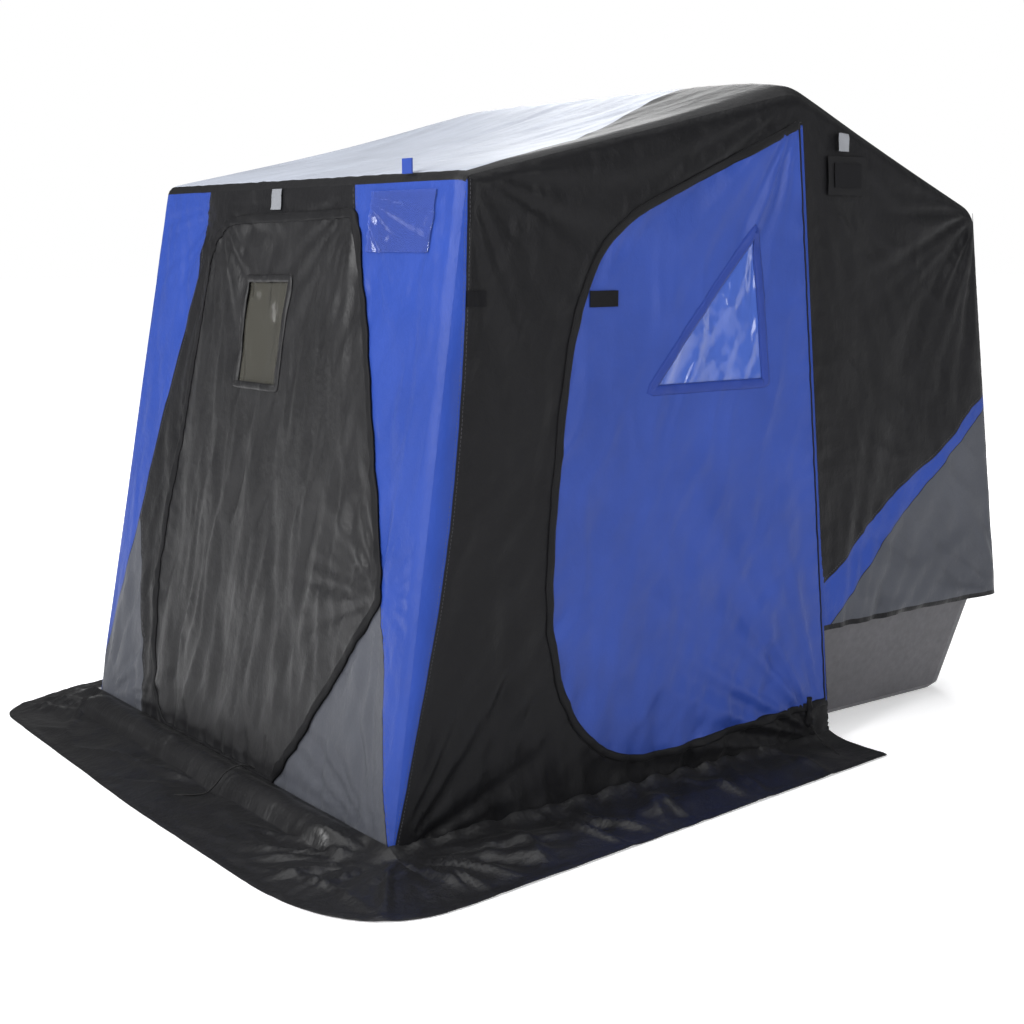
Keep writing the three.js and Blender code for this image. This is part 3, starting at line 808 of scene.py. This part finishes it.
def add_side_door(label, side):
    body = f"side_door_{label}"
    side_sheet(f"door_cloth_{label}", side, shrink(SIDE_DOOR, DOOR_SHARE), [SIDE_WINDOW], 0.003,
               MATERIAL["blue"], body, f"side_door_panel_{label}")
    side_sheet(f"window_pane_{label}", side, SIDE_WINDOW, [], 0.001, MATERIAL["blue_vinyl"],
               body, f"side_window_{label}", 0.011)

    def over_door(y, z, out):
        return side_point(side, y, z, 0.004 + out)

    rim = ribbon(f"window_binding_{label}", inset(SIDE_WINDOW, -0.012), 0.030, over_door,
                 MATERIAL["blue_trim"], closed=True)
    flap = ribbon(f"door_zip_{label}", SIDE_DOOR, 0.024, over_door, MATERIAL["binding"], height=0.003)
    hinge_seam = ribbon(f"door_seam_{label}", [SIDE_DOOR[0], SIDE_DOOR[-1]], 0.005, over_door,
                        MATERIAL["binding"])
    tab = ribbon(f"pull_tab_{label}", [(SIDE_PULL[0][1], 0.165), (SIDE_PULL[0][1], 0.072)], 0.020,
                 over_door, MATERIAL["binding"], height=0.010)
    for piece in (rim, flap, hinge_seam, tab):
        ride_door(piece, body)


def inset(outline, distance):
    """A closed convex outline moved in by a distance, with mitred corners."""
    points = np.array(outline, float)
    before = points - np.roll(points, 1, 0)
    after = np.roll(points, -1, 0) - points
    before /= np.linalg.norm(before, axis=1, keepdims=True)
    after /= np.linalg.norm(after, axis=1, keepdims=True)
    turn = np.sign(np.sum(before[:, 0] * after[:, 1] - before[:, 1] * after[:, 0]))
    normal_a = np.stack([-before[:, 1], before[:, 0]], 1) * turn
    normal_b = np.stack([-after[:, 1], after[:, 0]], 1) * turn
    scale = distance / (1 + np.sum(normal_a * normal_b, 1))
    return [tuple(p) for p in points + (normal_a + normal_b) * scale[:, None]]


def ride_door(piece, body):
    """A side door's piece swings with its body, with a mesh of its own."""
    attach(piece, body)
    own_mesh(piece)


def shrink(outline, factor):
    points = np.array(outline)
    middle = points.mean(0)
    return [tuple(p) for p in (points - middle) * factor + middle]


def resample(points, spacing, closed=False):
    points = np.array(list(points) + ([points[0]] if closed else []), float)
    run = np.concatenate([[0], np.cumsum(np.linalg.norm(np.diff(points, axis=0), axis=1))])
    count = max(3, round(run[-1] / spacing) + 1)
    at = np.linspace(0, run[-1], count)
    return np.stack([np.interp(at, run, points[:, i]) for i in range(points.shape[1])], 1)


def ribbon(name, route, width, surface, material, closed=False, height=0.0018):
    """A low rounded tape that follows a route drawn on a cloth surface."""
    line = resample(route, TAPE_STEP, closed)
    if closed:
        line = line[:-1]
        tangent = np.roll(line, -1, 0) - np.roll(line, 1, 0)
    else:
        tangent = np.gradient(line, axis=0)
    tangent /= np.linalg.norm(tangent, axis=1, keepdims=True)
    across = np.stack([-tangent[:, 1], tangent[:, 0]], 1)
    profile = ((-0.5, TAPE_SUNK), (-0.5, 0.0), (-0.25, height), (0.25, height), (0.5, 0.0),
               (0.5, TAPE_SUNK))
    rings = []
    for share, out in profile:
        place = line + across * share * width
        rings.append(surface(place[:, 0], place[:, 1], out))
    points = np.stack(rings, 1)
    count, around = points.shape[:2]
    index = np.arange(count * around).reshape(count, around)
    ahead = np.roll(index, -1, 0) if closed else index[1:]
    behind = index if closed else index[:-1]
    quads = np.stack([behind, np.roll(behind, -1, 1), np.roll(ahead, -1, 1), ahead], -1)
    faces = quads.reshape(-1, 4).tolist()
    if not closed:
        faces += [index[0][::-1].tolist(), index[-1].tolist()]
    mesh = bpy.data.meshes.new(name)
    mesh.from_pydata((points.reshape(-1, 3) + ORIGIN).tolist(), [], faces)
    face_outward(mesh)
    run = np.repeat(np.arange(count) * TAPE_STEP, around)
    side = np.tile([share * width for share, _ in profile], count)
    set_uv(mesh, np.stack([run, side], 1))
    mesh.materials.append(material)
    return put(name, mesh)


# ---- Roof and back wall
def back_height(line):
    """Height at which a line drawn on the side wall meets the back edge."""
    points = resample(line, 0.004)
    gap, _ = along_line(points[:, 0], points[:, 1], REAR_HEM, REAR_TOP)
    return points[gap.argmin()][1]


def strip_cloth():
    """The sheet over the hoops, from the front hoop to the hem behind the sled."""
    line = resample(ROOF_LINE + [REAR_HEM], PITCH)
    run = np.concatenate([[0], np.cumsum(np.linalg.norm(np.diff(line, axis=0), axis=1))])
    across = np.linspace(-1, 1, round(2 * BASE_HALF_WIDTH / PITCH) + 1)
    across = np.unique(np.concatenate([across, np.sign(across) * (1 - 0.35 * (1 - np.abs(across)))
                                       * (np.abs(across) > 0.95) + across * (np.abs(across) <= 0.95)]))
    share, row = np.meshgrid(across, np.arange(len(line)))
    y, z = line[row, 0], line[row, 1]
    tangent = np.gradient(line, axis=0)
    tangent /= np.linalg.norm(tangent, axis=1, keepdims=True)
    out = np.stack([-tangent[:, 1], tangent[:, 0]], 1)[row]
    x = share * half_width(z)
    rim = half_width(z) - np.abs(x)
    sink, shift = round_edge(rim, EDGE_RADIUS)
    s = run[row]
    hoops = [np.hypot(line[:, 0] - p[0], line[:, 1] - p[1]).argmin()
             for p in (FRONT_TOP, PEAK, REAR_TOP)]
    gap = np.minimum.reduce([np.abs(s - run[h]) for h in hoops])
    lateral = 1 - np.abs(share) ** 4
    relief = -0.022 * (1 - near(gap, 0.32)) * lateral
    inner = (1 - near(gap, 0.09)) * lateral
    relief += inner * (0.011 * folds(x, s, 80, 0.16, 1.2, 0) + 0.008 * folds(x, s, 98, 0.08, 0.8, 1))
    relief += inner * 0.0026 * creases(x, s, 88, 0.12, 0.8, 3)
    relief += 0.0040 * NOISES[5](x / 0.045, gap / 0.2) * near(gap, 0.08) * lateral * (1 - near(gap, 0.012))
    relief += CROWN * near(s - run[hoops[1]], 0.45) * (1 - np.abs(share) ** 8)
    hem = run[-1] - s
    relief += 0.018 * NOISES[11](x / 0.07, hem / 0.3) * near(hem - 0.05, 0.20) * lateral
    relief *= 1 - 0.85 * near(hem, 0.16)
    relief = relief * np.clip(rim / 0.03, 0, 1) - sink
    place = x - np.sign(x) * shift
    points = np.stack([place, y + out[..., 0] * relief, z + out[..., 1] * relief], -1).reshape(-1, 3)
    index = np.arange(x.size).reshape(x.shape)
    quads = np.stack([index[:-1, :-1], index[:-1, 1:], index[1:, 1:], index[1:, :-1]], -1).reshape(-1, 4)
    faces = np.concatenate([quads[:, [0, 1, 2]], quads[:, [0, 2, 3]]])
    flat = np.stack([x.ravel(), s.ravel()], 1)
    rise = np.clip(s / run[hoops[1]], 0, 1)
    wrap = np.where(x > 0, BLACK_WRAP, 0.03) * (1 - np.cos(math.pi * rise)) / 2 + 0.022
    black_edge = np.maximum.reduce([wrap - rim, 0.030 - s, s - run[hoops[1]] + 0.03])
    band_top, band_foot = back_height(BLUE_BAND_TOP), back_height(BLUE_BAND_FOOT)
    behind = s > run[hoops[2]]
    marks = {
        "black": black_edge.ravel(),
        "blue": np.where(behind, np.minimum(band_top - z, z - band_foot), -1.0).ravel(),
        "grey": np.where(behind, band_foot - z, -1.0).ravel(),
        "hem": np.where(behind, z - REAR_HEM[1], 1.0).ravel(),
    }
    cloth = Cloth(points, faces, flat, marks)
    return cloth, [run[h] for h in hoops]


BLACK_WRAP = 0.42        # how far the black side cloth reaches over the roof at the peak
CROWN = 0.034            # rise of the roof cloth along the peak


def bend_between(piece, first, second, angle_a, angle_b):
    """Bakes the piece's placement into its mesh; the two bodies and the two directions from the pivot are
    not used.
    """
    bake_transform(piece)


def add_strip():
    cloth, hoops = strip_cloth()
    s = cloth.flat[cloth.faces][:, :, 1].mean(1)
    pieces = (
        ("roof_cloth_front", s <= hoops[1], "roof", "roof_fabric", "roof_front",
         ("mid_hoop", "front_hoop", ARM["mid"], ARM["front"])),
        ("roof_cloth_rear", (s > hoops[1]) & (s <= hoops[2]), "side", "black_fabric", "roof_rear",
         ("rear_hoop", "mid_hoop", ARM["rear"], ARM["mid"])),
        ("back_cloth", s > hoops[2], "side", "black_fabric", "back_wall",
         ("sled", "rear_hoop", angle_to(PIVOT, REAR_HEM) - 360, ARM["rear"])),
    )
    for name, keep, material, slot, node, bend in pieces:
        part = cloth.part(keep)
        piece = part.build(name, MATERIAL[material])
        declare_sheet(part)
        bend_between(piece, *bend)
        describe(piece, node)


# ---- Front wall
FRONT_OUT = np.array([0, -FRONT_TOP[1], FRONT_TOP[0]]) / math.hypot(*FRONT_TOP)


def front_relief(x, z):
    edge = np.minimum(half_width(z) - np.abs(x), np.abs(z - FRONT_TOP[1]))
    relief = -0.016 * (1 - near(edge, 0.25))
    inner = 1 - near(edge, 0.06)
    relief += inner * (0.0100 * folds(x, z, 86, 0.11, 1.1, 0) + 0.0080 * folds(x, z, 97, 0.06, 0.7, 1)
                       + 0.0040 * folds(x, z, 64, 0.055, 0.4, 2))
    relief += inner * 0.0034 * creases(x, z, 80, 0.09, 0.6, 3)
    for centre, reach, count, seed in (((0.86, 0.02), 0.5, 8, 5), ((-0.86, 0.02), 0.5, 8, 6),
                                       ((0.741, 0.640), 0.35, 7, 7), ((0.373, 1.70), 0.4, 8, 8),
                                       ((-0.45, 1.68), 0.5, 8, 9)):
        relief += 0.014 * radiate(x, z, centre, reach, count, seed) * inner
    opening = signed_distance(np.stack([x, z], 1), FRONT_DOOR)
    relief += 0.0045 * NOISES[4](z / 0.045 + x / 0.06, (x - z) / 0.15) * near(opening, 0.05)
    relief += 0.020 * pleats(x, z) * near(z, 0.16)
    return relief


def front_point(x, z, out=0.0):
    rim = np.maximum(half_width(z) - np.abs(x), 0.0)
    sink, shift = round_edge(rim, EDGE_RADIUS)
    offset = front_relief(x, z) * np.clip(rim / 0.03, 0, 1) + out - sink
    flat = np.stack([x - np.sign(x) * shift, z * FRONT_TOP[0] / FRONT_TOP[1], z], 1)
    points = flat + offset[:, None] * FRONT_OUT
    points[:, 2] = np.maximum(points[:, 2], FLOOR_GAP)
    return points


def door_belly(x, z):
    """Extra slack of the front door's cloth, in long hanging folds."""
    slack = np.clip(signed_distance(np.stack([x, z], 1), FRONT_DOOR), 0, 0.12) / 0.12
    hang = 0.015 * folds(x, z, 88, 0.10, 1.0, 7) + 0.009 * folds(x, z, 80, 0.055, 0.6, 8)
    return slack * (0.004 + hang * (1.4 - 0.5 * z) + 0.0050 * creases(x, z, 84, 0.085, 0.9, 9))


def add_front_wall():
    z_top = ROOF_LINE[0][1]
    wall = [(-half_width(0), 0), (half_width(0), 0), (half_width(z_top), z_top),
            (-half_width(z_top), z_top)]
    faces, flat = fill(wall, [FRONT_DOOR])
    grey = np.maximum(signed_distance(flat, GREY_LEFT), signed_distance(flat, GREY_RIGHT))
    blue = np.maximum(signed_distance(flat, BLUE_LEFT), signed_distance(flat, BLUE_RIGHT))
    cloth = Cloth(front_point(flat[:, 0], flat[:, 1]), faces, flat, {"blue": blue, "grey": grey})
    wall = cloth.build("front_cloth", MATERIAL["front"])
    declare_sheet(cloth)
    describe(wall, "front_wall_panel", "front_wall")


def add_front_door():
    faces, flat = fill(shrink(FRONT_DOOR, DOOR_SHARE), [FRONT_WINDOW])
    points = front_point(flat[:, 0], flat[:, 1], 0.004 + door_belly(flat[:, 0], flat[:, 1]))
    cloth = Cloth(points, faces, flat, {})
    door = cloth.build("front_door_cloth", MATERIAL["black"])
    declare_sheet(cloth)
    describe(door, "front_door_panel", "front_door")

    faces, flat = fill(FRONT_WINDOW, pitch=0.010)
    cloth = Cloth(front_point(flat[:, 0], flat[:, 1], 0.003), faces, flat, {})
    pane = cloth.build("front_window_pane", MATERIAL["vinyl"])
    declare_sheet(cloth)
    describe(pane, "front_window", "front_door")

    def over_door(x, z, out):
        return front_point(x, z, 0.007 + door_belly(x, z) + out)

    rim = ribbon("front_window_binding", inset(FRONT_WINDOW, -0.008), 0.022, over_door,
                 MATERIAL["black"], closed=True)
    zip_tape = ribbon("front_door_zip", FRONT_DOOR, 0.026, over_door, MATERIAL["binding"], closed=True)
    for piece in (rim, zip_tape):
        describe(piece, body="front_door")


# ---- Skirts
SKIRT_FRONT = 0.356
SKIRT_SIDE = {1: 0.340, -1: 0.160}
SKIRT_REAR = {1: 0.204, -1: 0.150}
SKIRT_TIP_Y = SEAM_FOOT[0] + 0.038
RIGHT = BASE_HALF_WIDTH + SKIRT_SIDE[1]
LEFT = -BASE_HALF_WIDTH - SKIRT_SIDE[-1]
SKIRT_OUTLINE = ([(LEFT, 0.0), (LEFT + 0.080, -0.190)]
                 + bezier((LEFT + 0.080, -0.190), (LEFT + 0.125, -0.318), (LEFT + 0.256, -0.322))
                 + [(0.160, -SKIRT_FRONT), (RIGHT - 0.430, -SKIRT_FRONT + 0.004)]
                 + bezier((RIGHT - 0.430, -SKIRT_FRONT + 0.004), (RIGHT - 0.016, -SKIRT_FRONT + 0.021),
                          (RIGHT, -0.060))
                 + [(RIGHT, 0.0)])
SKIRT_ALL = ([(BASE_HALF_WIDTH + SKIRT_REAR[1], SKIRT_TIP_Y), (0, SKIRT_TIP_Y + 1.0),
              (-BASE_HALF_WIDTH - SKIRT_REAR[-1], SKIRT_TIP_Y)] + SKIRT_OUTLINE)
ROLL = (0.052, 0.056, 0.058)   # middle, half width and height of the rolled edge at the front wall


def skirt_height(x, y):
    """Height of the skirt's cloth over the ground, with folds and a raised roll at the wall."""
    lateral = np.maximum(np.abs(x) - BASE_HALF_WIDTH, 0)
    away = np.where(y < 0, np.hypot(lateral, y), lateral)
    inland = np.maximum(signed_distance(np.stack([x, y], 1), SKIRT_ALL), 0)
    calm = 1 - near(np.hypot(x - 0.200, y + 0.155), 0.10) - near(np.hypot(np.abs(x) - 1.02, y - 1.58), 0.10)
    loose = calm * np.clip(away / 0.14, 0, 1) * np.clip(inland / 0.12, 0.12, 1)
    loose *= 1 + 0.9 * np.clip(y / 0.25, 0, 1)
    height = 0.0045 + loose * (0.030 * np.clip(folds(x, y, 28, 0.20, 0.9, 2), 0, 1)
                               + 0.020 * np.clip(folds(x, y, -55, 0.13, 0.6, 3), 0, 1)
                               + 0.014 * creases(x, y, 14, 0.17, 0.8, 8))
    taper = np.clip((BASE_HALF_WIDTH - 0.02 - np.abs(x)) / 0.22, 0, 1)
    ahead = np.clip(-y / 0.02, 0, 1) * taper * taper * (3 - 2 * taper)
    swell = 1 + 0.16 * NOISES[4](x / 0.35, y / 0.9) + 0.10 * NOISES[5](x / 0.12, y / 0.12)
    across = (away - ROLL[0]) / ROLL[1]
    height += ahead * ROLL[2] * swell * np.sqrt(np.clip(1 - across ** 2, 0, 1))
    run = np.where(y < 0, x + y, y)
    fillet = (1 - ahead) * np.exp(-away / 0.040)
    height += fillet * (0.036 + 0.014 * calm * pleats(run, 0.0 * y))
    beside = np.clip(pleats(run + 0.5 * away, away), 0, 1) * near(away - 0.05, 0.13)
    height += (1 - ahead) * calm * (0.034 * beside + 0.012 * np.clip(folds(x, y, 20, 0.085, 0.5, 9), 0, 1)
                                    * near(away - 0.10, 0.14))
    for side in (-1, 1):
        pull = radiate(x, y, (side * BASE_HALF_WIDTH, 0), 0.42, 9, 6)
        height += 0.040 * np.clip(pull, 0, 1) * loose
    height += 0.004 * near(inland - 0.012, 0.008)
    return np.maximum(height, 0.0040)


def lay_skirt(label, cloth):
    """A skirt rides on the front wall, with a mesh of its own."""
    piece = cloth.build(f"skirt_cloth_{label}", MATERIAL["skirt"], SKIRT)
    declare_sheet(cloth)
    describe(piece, f"skirt_{label}", "front_wall")
    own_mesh(piece)


def add_skirts():
    faces, flat = fill(SKIRT_OUTLINE)
    points = np.stack([flat[:, 0], flat[:, 1], skirt_height(flat[:, 0], flat[:, 1])], 1)
    cloth = Cloth(points, faces, flat, {})
    lay_skirt("front", cloth)
    inner = BASE_HALF_WIDTH - 0.004
    for label, side in (("right", 1), ("left", -1)):
        tip = (BASE_HALF_WIDTH + SKIRT_REAR[side], SKIRT_TIP_Y)
        outline = [(inner, 0.0), (BASE_HALF_WIDTH + SKIRT_SIDE[side], 0.0), tip, (inner, SEAM_FOOT[0])]
        faces, flat = fill(outline)
        x = flat[:, 0] * side
        points = np.stack([x, flat[:, 1], skirt_height(x, flat[:, 1])], 1)
        cloth = Cloth(points, faces if side > 0 else faces[:, ::-1], flat, {})
        lay_skirt(label, cloth)


# ---- Small pieces
def patch(name, low, high, surface, material, body=None, side=1):
    """A small rectangle of cloth sewn onto a wall."""
    outline = [low, (high[0], low[1]), high, (low[0], high[1])]
    faces, flat = fill(outline, pitch=PATCH_PITCH)
    if side < 0:
        faces = faces[:, ::-1]
    cloth = Cloth(surface(flat[:, 0], flat[:, 1]), faces, flat, {})
    piece = cloth.build(name, material, PATCH)
    describe(piece, body=body)
    return piece


def flush_patch(name, low, high, side, material, fan, out=0.004):
    """A patch on a side wall that rides on the same body as the cloth under it."""
    piece = patch(name, low, high, lambda y, z: side_point(side, y, z, out), material, side=side)
    gather(piece, fan)
    return piece


def add_small_pieces():
    def front_face(x, z):
        return front_point(x, z, 0.006)

    pocket = patch("pocket_sheet", (0.452, 1.540), (0.765, 1.702), front_face,
                   MATERIAL["pocket_vinyl"], "front_wall")
    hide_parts("document_pocket")
    tag = patch("front_tag", (-0.106, 1.662), (-0.050, 1.722), front_face, MATERIAL["tag"],
                "front_wall")
    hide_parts("reflective_tag_front")
    for label, side in (("right", 1), ("left", -1)):
        tag = flush_patch(f"tag_{label}", (1.674, 1.836), (1.718, 1.890), side, MATERIAL["tag"],
                          "rear_high", 0.017)
        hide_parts(f"reflective_tag_{label}")
        flush_patch(f"vent_frame_{label}", (1.635, 1.706), (1.808, 1.822), side, MATERIAL["binding"],
                    "rear_high", 0.009)
        flush_patch(f"vent_cover_{label}", (1.661, 1.728), (1.782, 1.801), side, MATERIAL["hook"],
                    "rear_high", 0.013)
        flush_patch(f"wall_catch_{label}", (0.286, 1.404), (0.356, 1.444), side, MATERIAL["hook"],
                    "front_low")
        catch = patch(f"door_catch_{label}", (0.703, 1.393), (0.806, 1.437),
                      lambda y, z: side_point(side, y, z, 0.007), MATERIAL["hook"],
                      f"side_door_{label}", side)
        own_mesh(catch)


# ---- Zip pulls
PULL_DIAMETER = 0.005
FRONT_PULL = [(0.255, -0.014, 0.070), (0.249, -0.034, 0.082), (0.238, -0.062, 0.084),
              (0.226, -0.092, 0.068), (0.216, -0.118, 0.036), (0.207, -0.144, 0.013),
              (0.192, -0.172, 0.0085), (0.176, -0.198, 0.0085)]
SIDE_PULL = [(0.960, 1.560, 0.078), (0.974, 1.566, 0.052), (0.994, 1.578, 0.026),
             (1.014, 1.588, 0.012), (1.036, 1.582, 0.0085), (1.056, 1.570, 0.0085)]


def smooth_route(points):
    """A curve through every point, by Catmull and Rom's rule."""
    points = np.array(points, float)
    ends = np.concatenate([[2 * points[0] - points[1]], points, [2 * points[-1] - points[-2]]])
    route = []
    for a, b, c, d in zip(ends, ends[1:], ends[2:], ends[3:]):
        for t in np.arange(ROUTE_STEPS) / ROUTE_STEPS:
            route.append(0.5 * (2 * b + (c - a) * t + (2 * a - 5 * b + 4 * c - d) * t ** 2
                                + (3 * b - a - 3 * c + d) * t ** 3))
    return np.array(route + [points[-1]])


def add_pull(name, points, body, node):
    route = smooth_route(points) + ORIGIN
    curve = bpy.data.curves.new(name, "CURVE")
    curve.dimensions = "3D"
    curve.bevel_depth = PULL_DIAMETER / 2
    curve.bevel_resolution = 3
    curve.use_fill_caps = True
    spline = curve.splines.new("POLY")
    spline.points.add(len(route) - 1)
    for point, place in zip(spline.points, route):
        point.co = (*place, 1)
    curve.materials.append(MATERIAL["pull"])
    cord = put(name, curve)
    grip = add_grip(f"{name}_grip", route[-1], route[-1] - route[-3])
    for piece in (cord, grip):
        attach(piece, body)
    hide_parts(node)


def add_grip(name, start, direction):
    """A ribbed rubber tab moulded round the end of a cord."""
    forward = direction / np.linalg.norm(direction)
    side = np.cross(forward, [0, 0, 1])
    up = np.cross(side, forward)
    stations = np.linspace(-0.006, 0.030, 19)
    rings = []
    for i, along in enumerate(stations):
        end = 1 - max(0, abs(along - 0.012) - 0.014) / 0.006
        radius = 0.0048 * math.sqrt(max(0.02, end)) * (1 - 0.10 * (i % 2))
        turns = np.radians(np.arange(0, 360, 30))
        rings.append(start + forward * along + np.outer(np.cos(turns), side) * radius
                     + np.outer(np.sin(turns), up) * radius * 0.72)
    count = len(rings[0])
    faces = [tuple(range(count))[::-1], tuple(range((len(rings) - 1) * count, len(rings) * count))]
    for ring in range(len(rings) - 1):
        for i in range(count):
            a, b = ring * count + i, ring * count + (i + 1) % count
            faces.append((a, b, b + count, a + count))
    mesh = bpy.data.meshes.new(name)
    mesh.from_pydata(np.concatenate(rings).tolist(), [], faces)
    face_outward(mesh)
    mesh.materials.append(MATERIAL["pull"])
    return put(name, mesh)


def add_pulls():
    add_pull("front_pull", FRONT_PULL, "front_door", "front_zip_pull")
    for label, side in (("right", 1), ("left", -1)):
        points = [(side * x, y, z) for x, y, z in SIDE_PULL]
        add_pull(f"side_pull_{label}", points, f"side_door_{label}", f"side_zip_pull_{label}")


# ---- Metal, plastic and staging
def finish_cad_nodes():
    looks = {"leg": "tube", "extension": "tube", "elbow": "tube", "crossbar": "tube",
             "pivot": "steel", "runner": "runner", "sled_tub": "sled", "webbing": "blue",
             "reflective": "tag", "pull": "binding"}
    for name, node in frame["nodes"].items():
        look = next((value for key, value in looks.items() if key in name), None)
        if look:
            node.data.materials.clear()
            node.data.materials.append(MATERIAL[look])


def add_stage():
    """A wide pale floor that grows brighter away from the object, so it meets the white behind."""
    far = 60.0
    mesh = bpy.data.meshes.new("floor")
    mesh.from_pydata([(-far, -far, 0), (far, -far, 0), (far, far, 0), (-far, far, 0)], [], [(0, 1, 2, 3)])
    nodes = Nodes("floor_paper")
    distance = nodes.add("VectorMath", {0: nodes.own_place()}, operation="LENGTH").outputs["Value"]
    glow = nodes.add("MapRange", {"Value": distance, "From Min": 1.8, "From Max": 6.0,
                                  "To Min": 0.34, "To Max": 1.0},
                     interpolation_type="SMOOTHSTEP").outputs[0]
    nodes.shader.inputs["Emission Color"].default_value = (1, 1, 1, 1)
    nodes.feed(nodes.shader.inputs["Emission Strength"], glow)
    mesh.materials.append(nodes.finish(color=(0.90, 0.90, 0.91, 1), roughness=0.9, specular=0.1))
    put("floor", mesh)


def add_light(name, place, aim, size, power):
    data = bpy.data.lights.new(name, "AREA")
    data.shape = "RECTANGLE"
    data.size, data.size_y = size
    data.energy = power
    light = put(name, data)
    light.location = place
    light.rotation_euler = (Vector(aim) - Vector(place)).to_track_quat("-Z", "Y").to_euler()


AMBIENT = 0.14


def add_lights():
    world = bpy.data.worlds.new("studio")
    world.use_nodes = True
    tree = world.node_tree
    seen = tree.nodes.new("ShaderNodeLightPath").outputs["Is Camera Ray"]
    strength = tree.nodes.new("ShaderNodeMapRange")
    strength.inputs["To Min"].default_value = AMBIENT
    strength.inputs["To Max"].default_value = 1.0
    tree.links.new(seen, strength.inputs["Value"])
    tree.nodes["Background"].inputs["Color"].default_value = (1, 1, 1, 1)
    tree.links.new(strength.outputs[0], tree.nodes["Background"].inputs["Strength"])
    bpy.context.scene.world = world
    add_light("front_key", (-1.0, -6.0, 4.2), (0, -0.6, 0.8), (2.2, 2.6), 330)
    add_light("side_graze", (2.4, -6.3, 3.0), (0.9, 0.3, 0.8), (1.0, 3.0), 300)
    add_light("side_fill", (6.5, 1.0, 3.2), (0.9, 0.5, 0.9), (2.5, 2.5), 185)
    add_light("rear_graze", (3.5, 6.0, 2.6), (0.9, 0.9, 0.9), (1.0, 3.0), 18)
    add_light("back_fill", (-5.0, 5.0, 4.0), (-0.5, 0.5, 0.9), (3.0, 3.0), 220)
    add_light("top", (0, 0, 7.0), (0, 0, 0), (7, 7), 390)
    bpy.context.scene.view_settings.view_transform = "Standard"


add_camera()
add_stage()
add_lights()
finish_cad_nodes()
for side_label, side_sign in (("right", 1), ("left", -1)):
    add_side_wall(side_label, side_sign)
    add_side_door(side_label, side_sign)
add_strip()
add_front_wall()
add_front_door()
add_skirts()
add_small_pieces()
add_pulls()
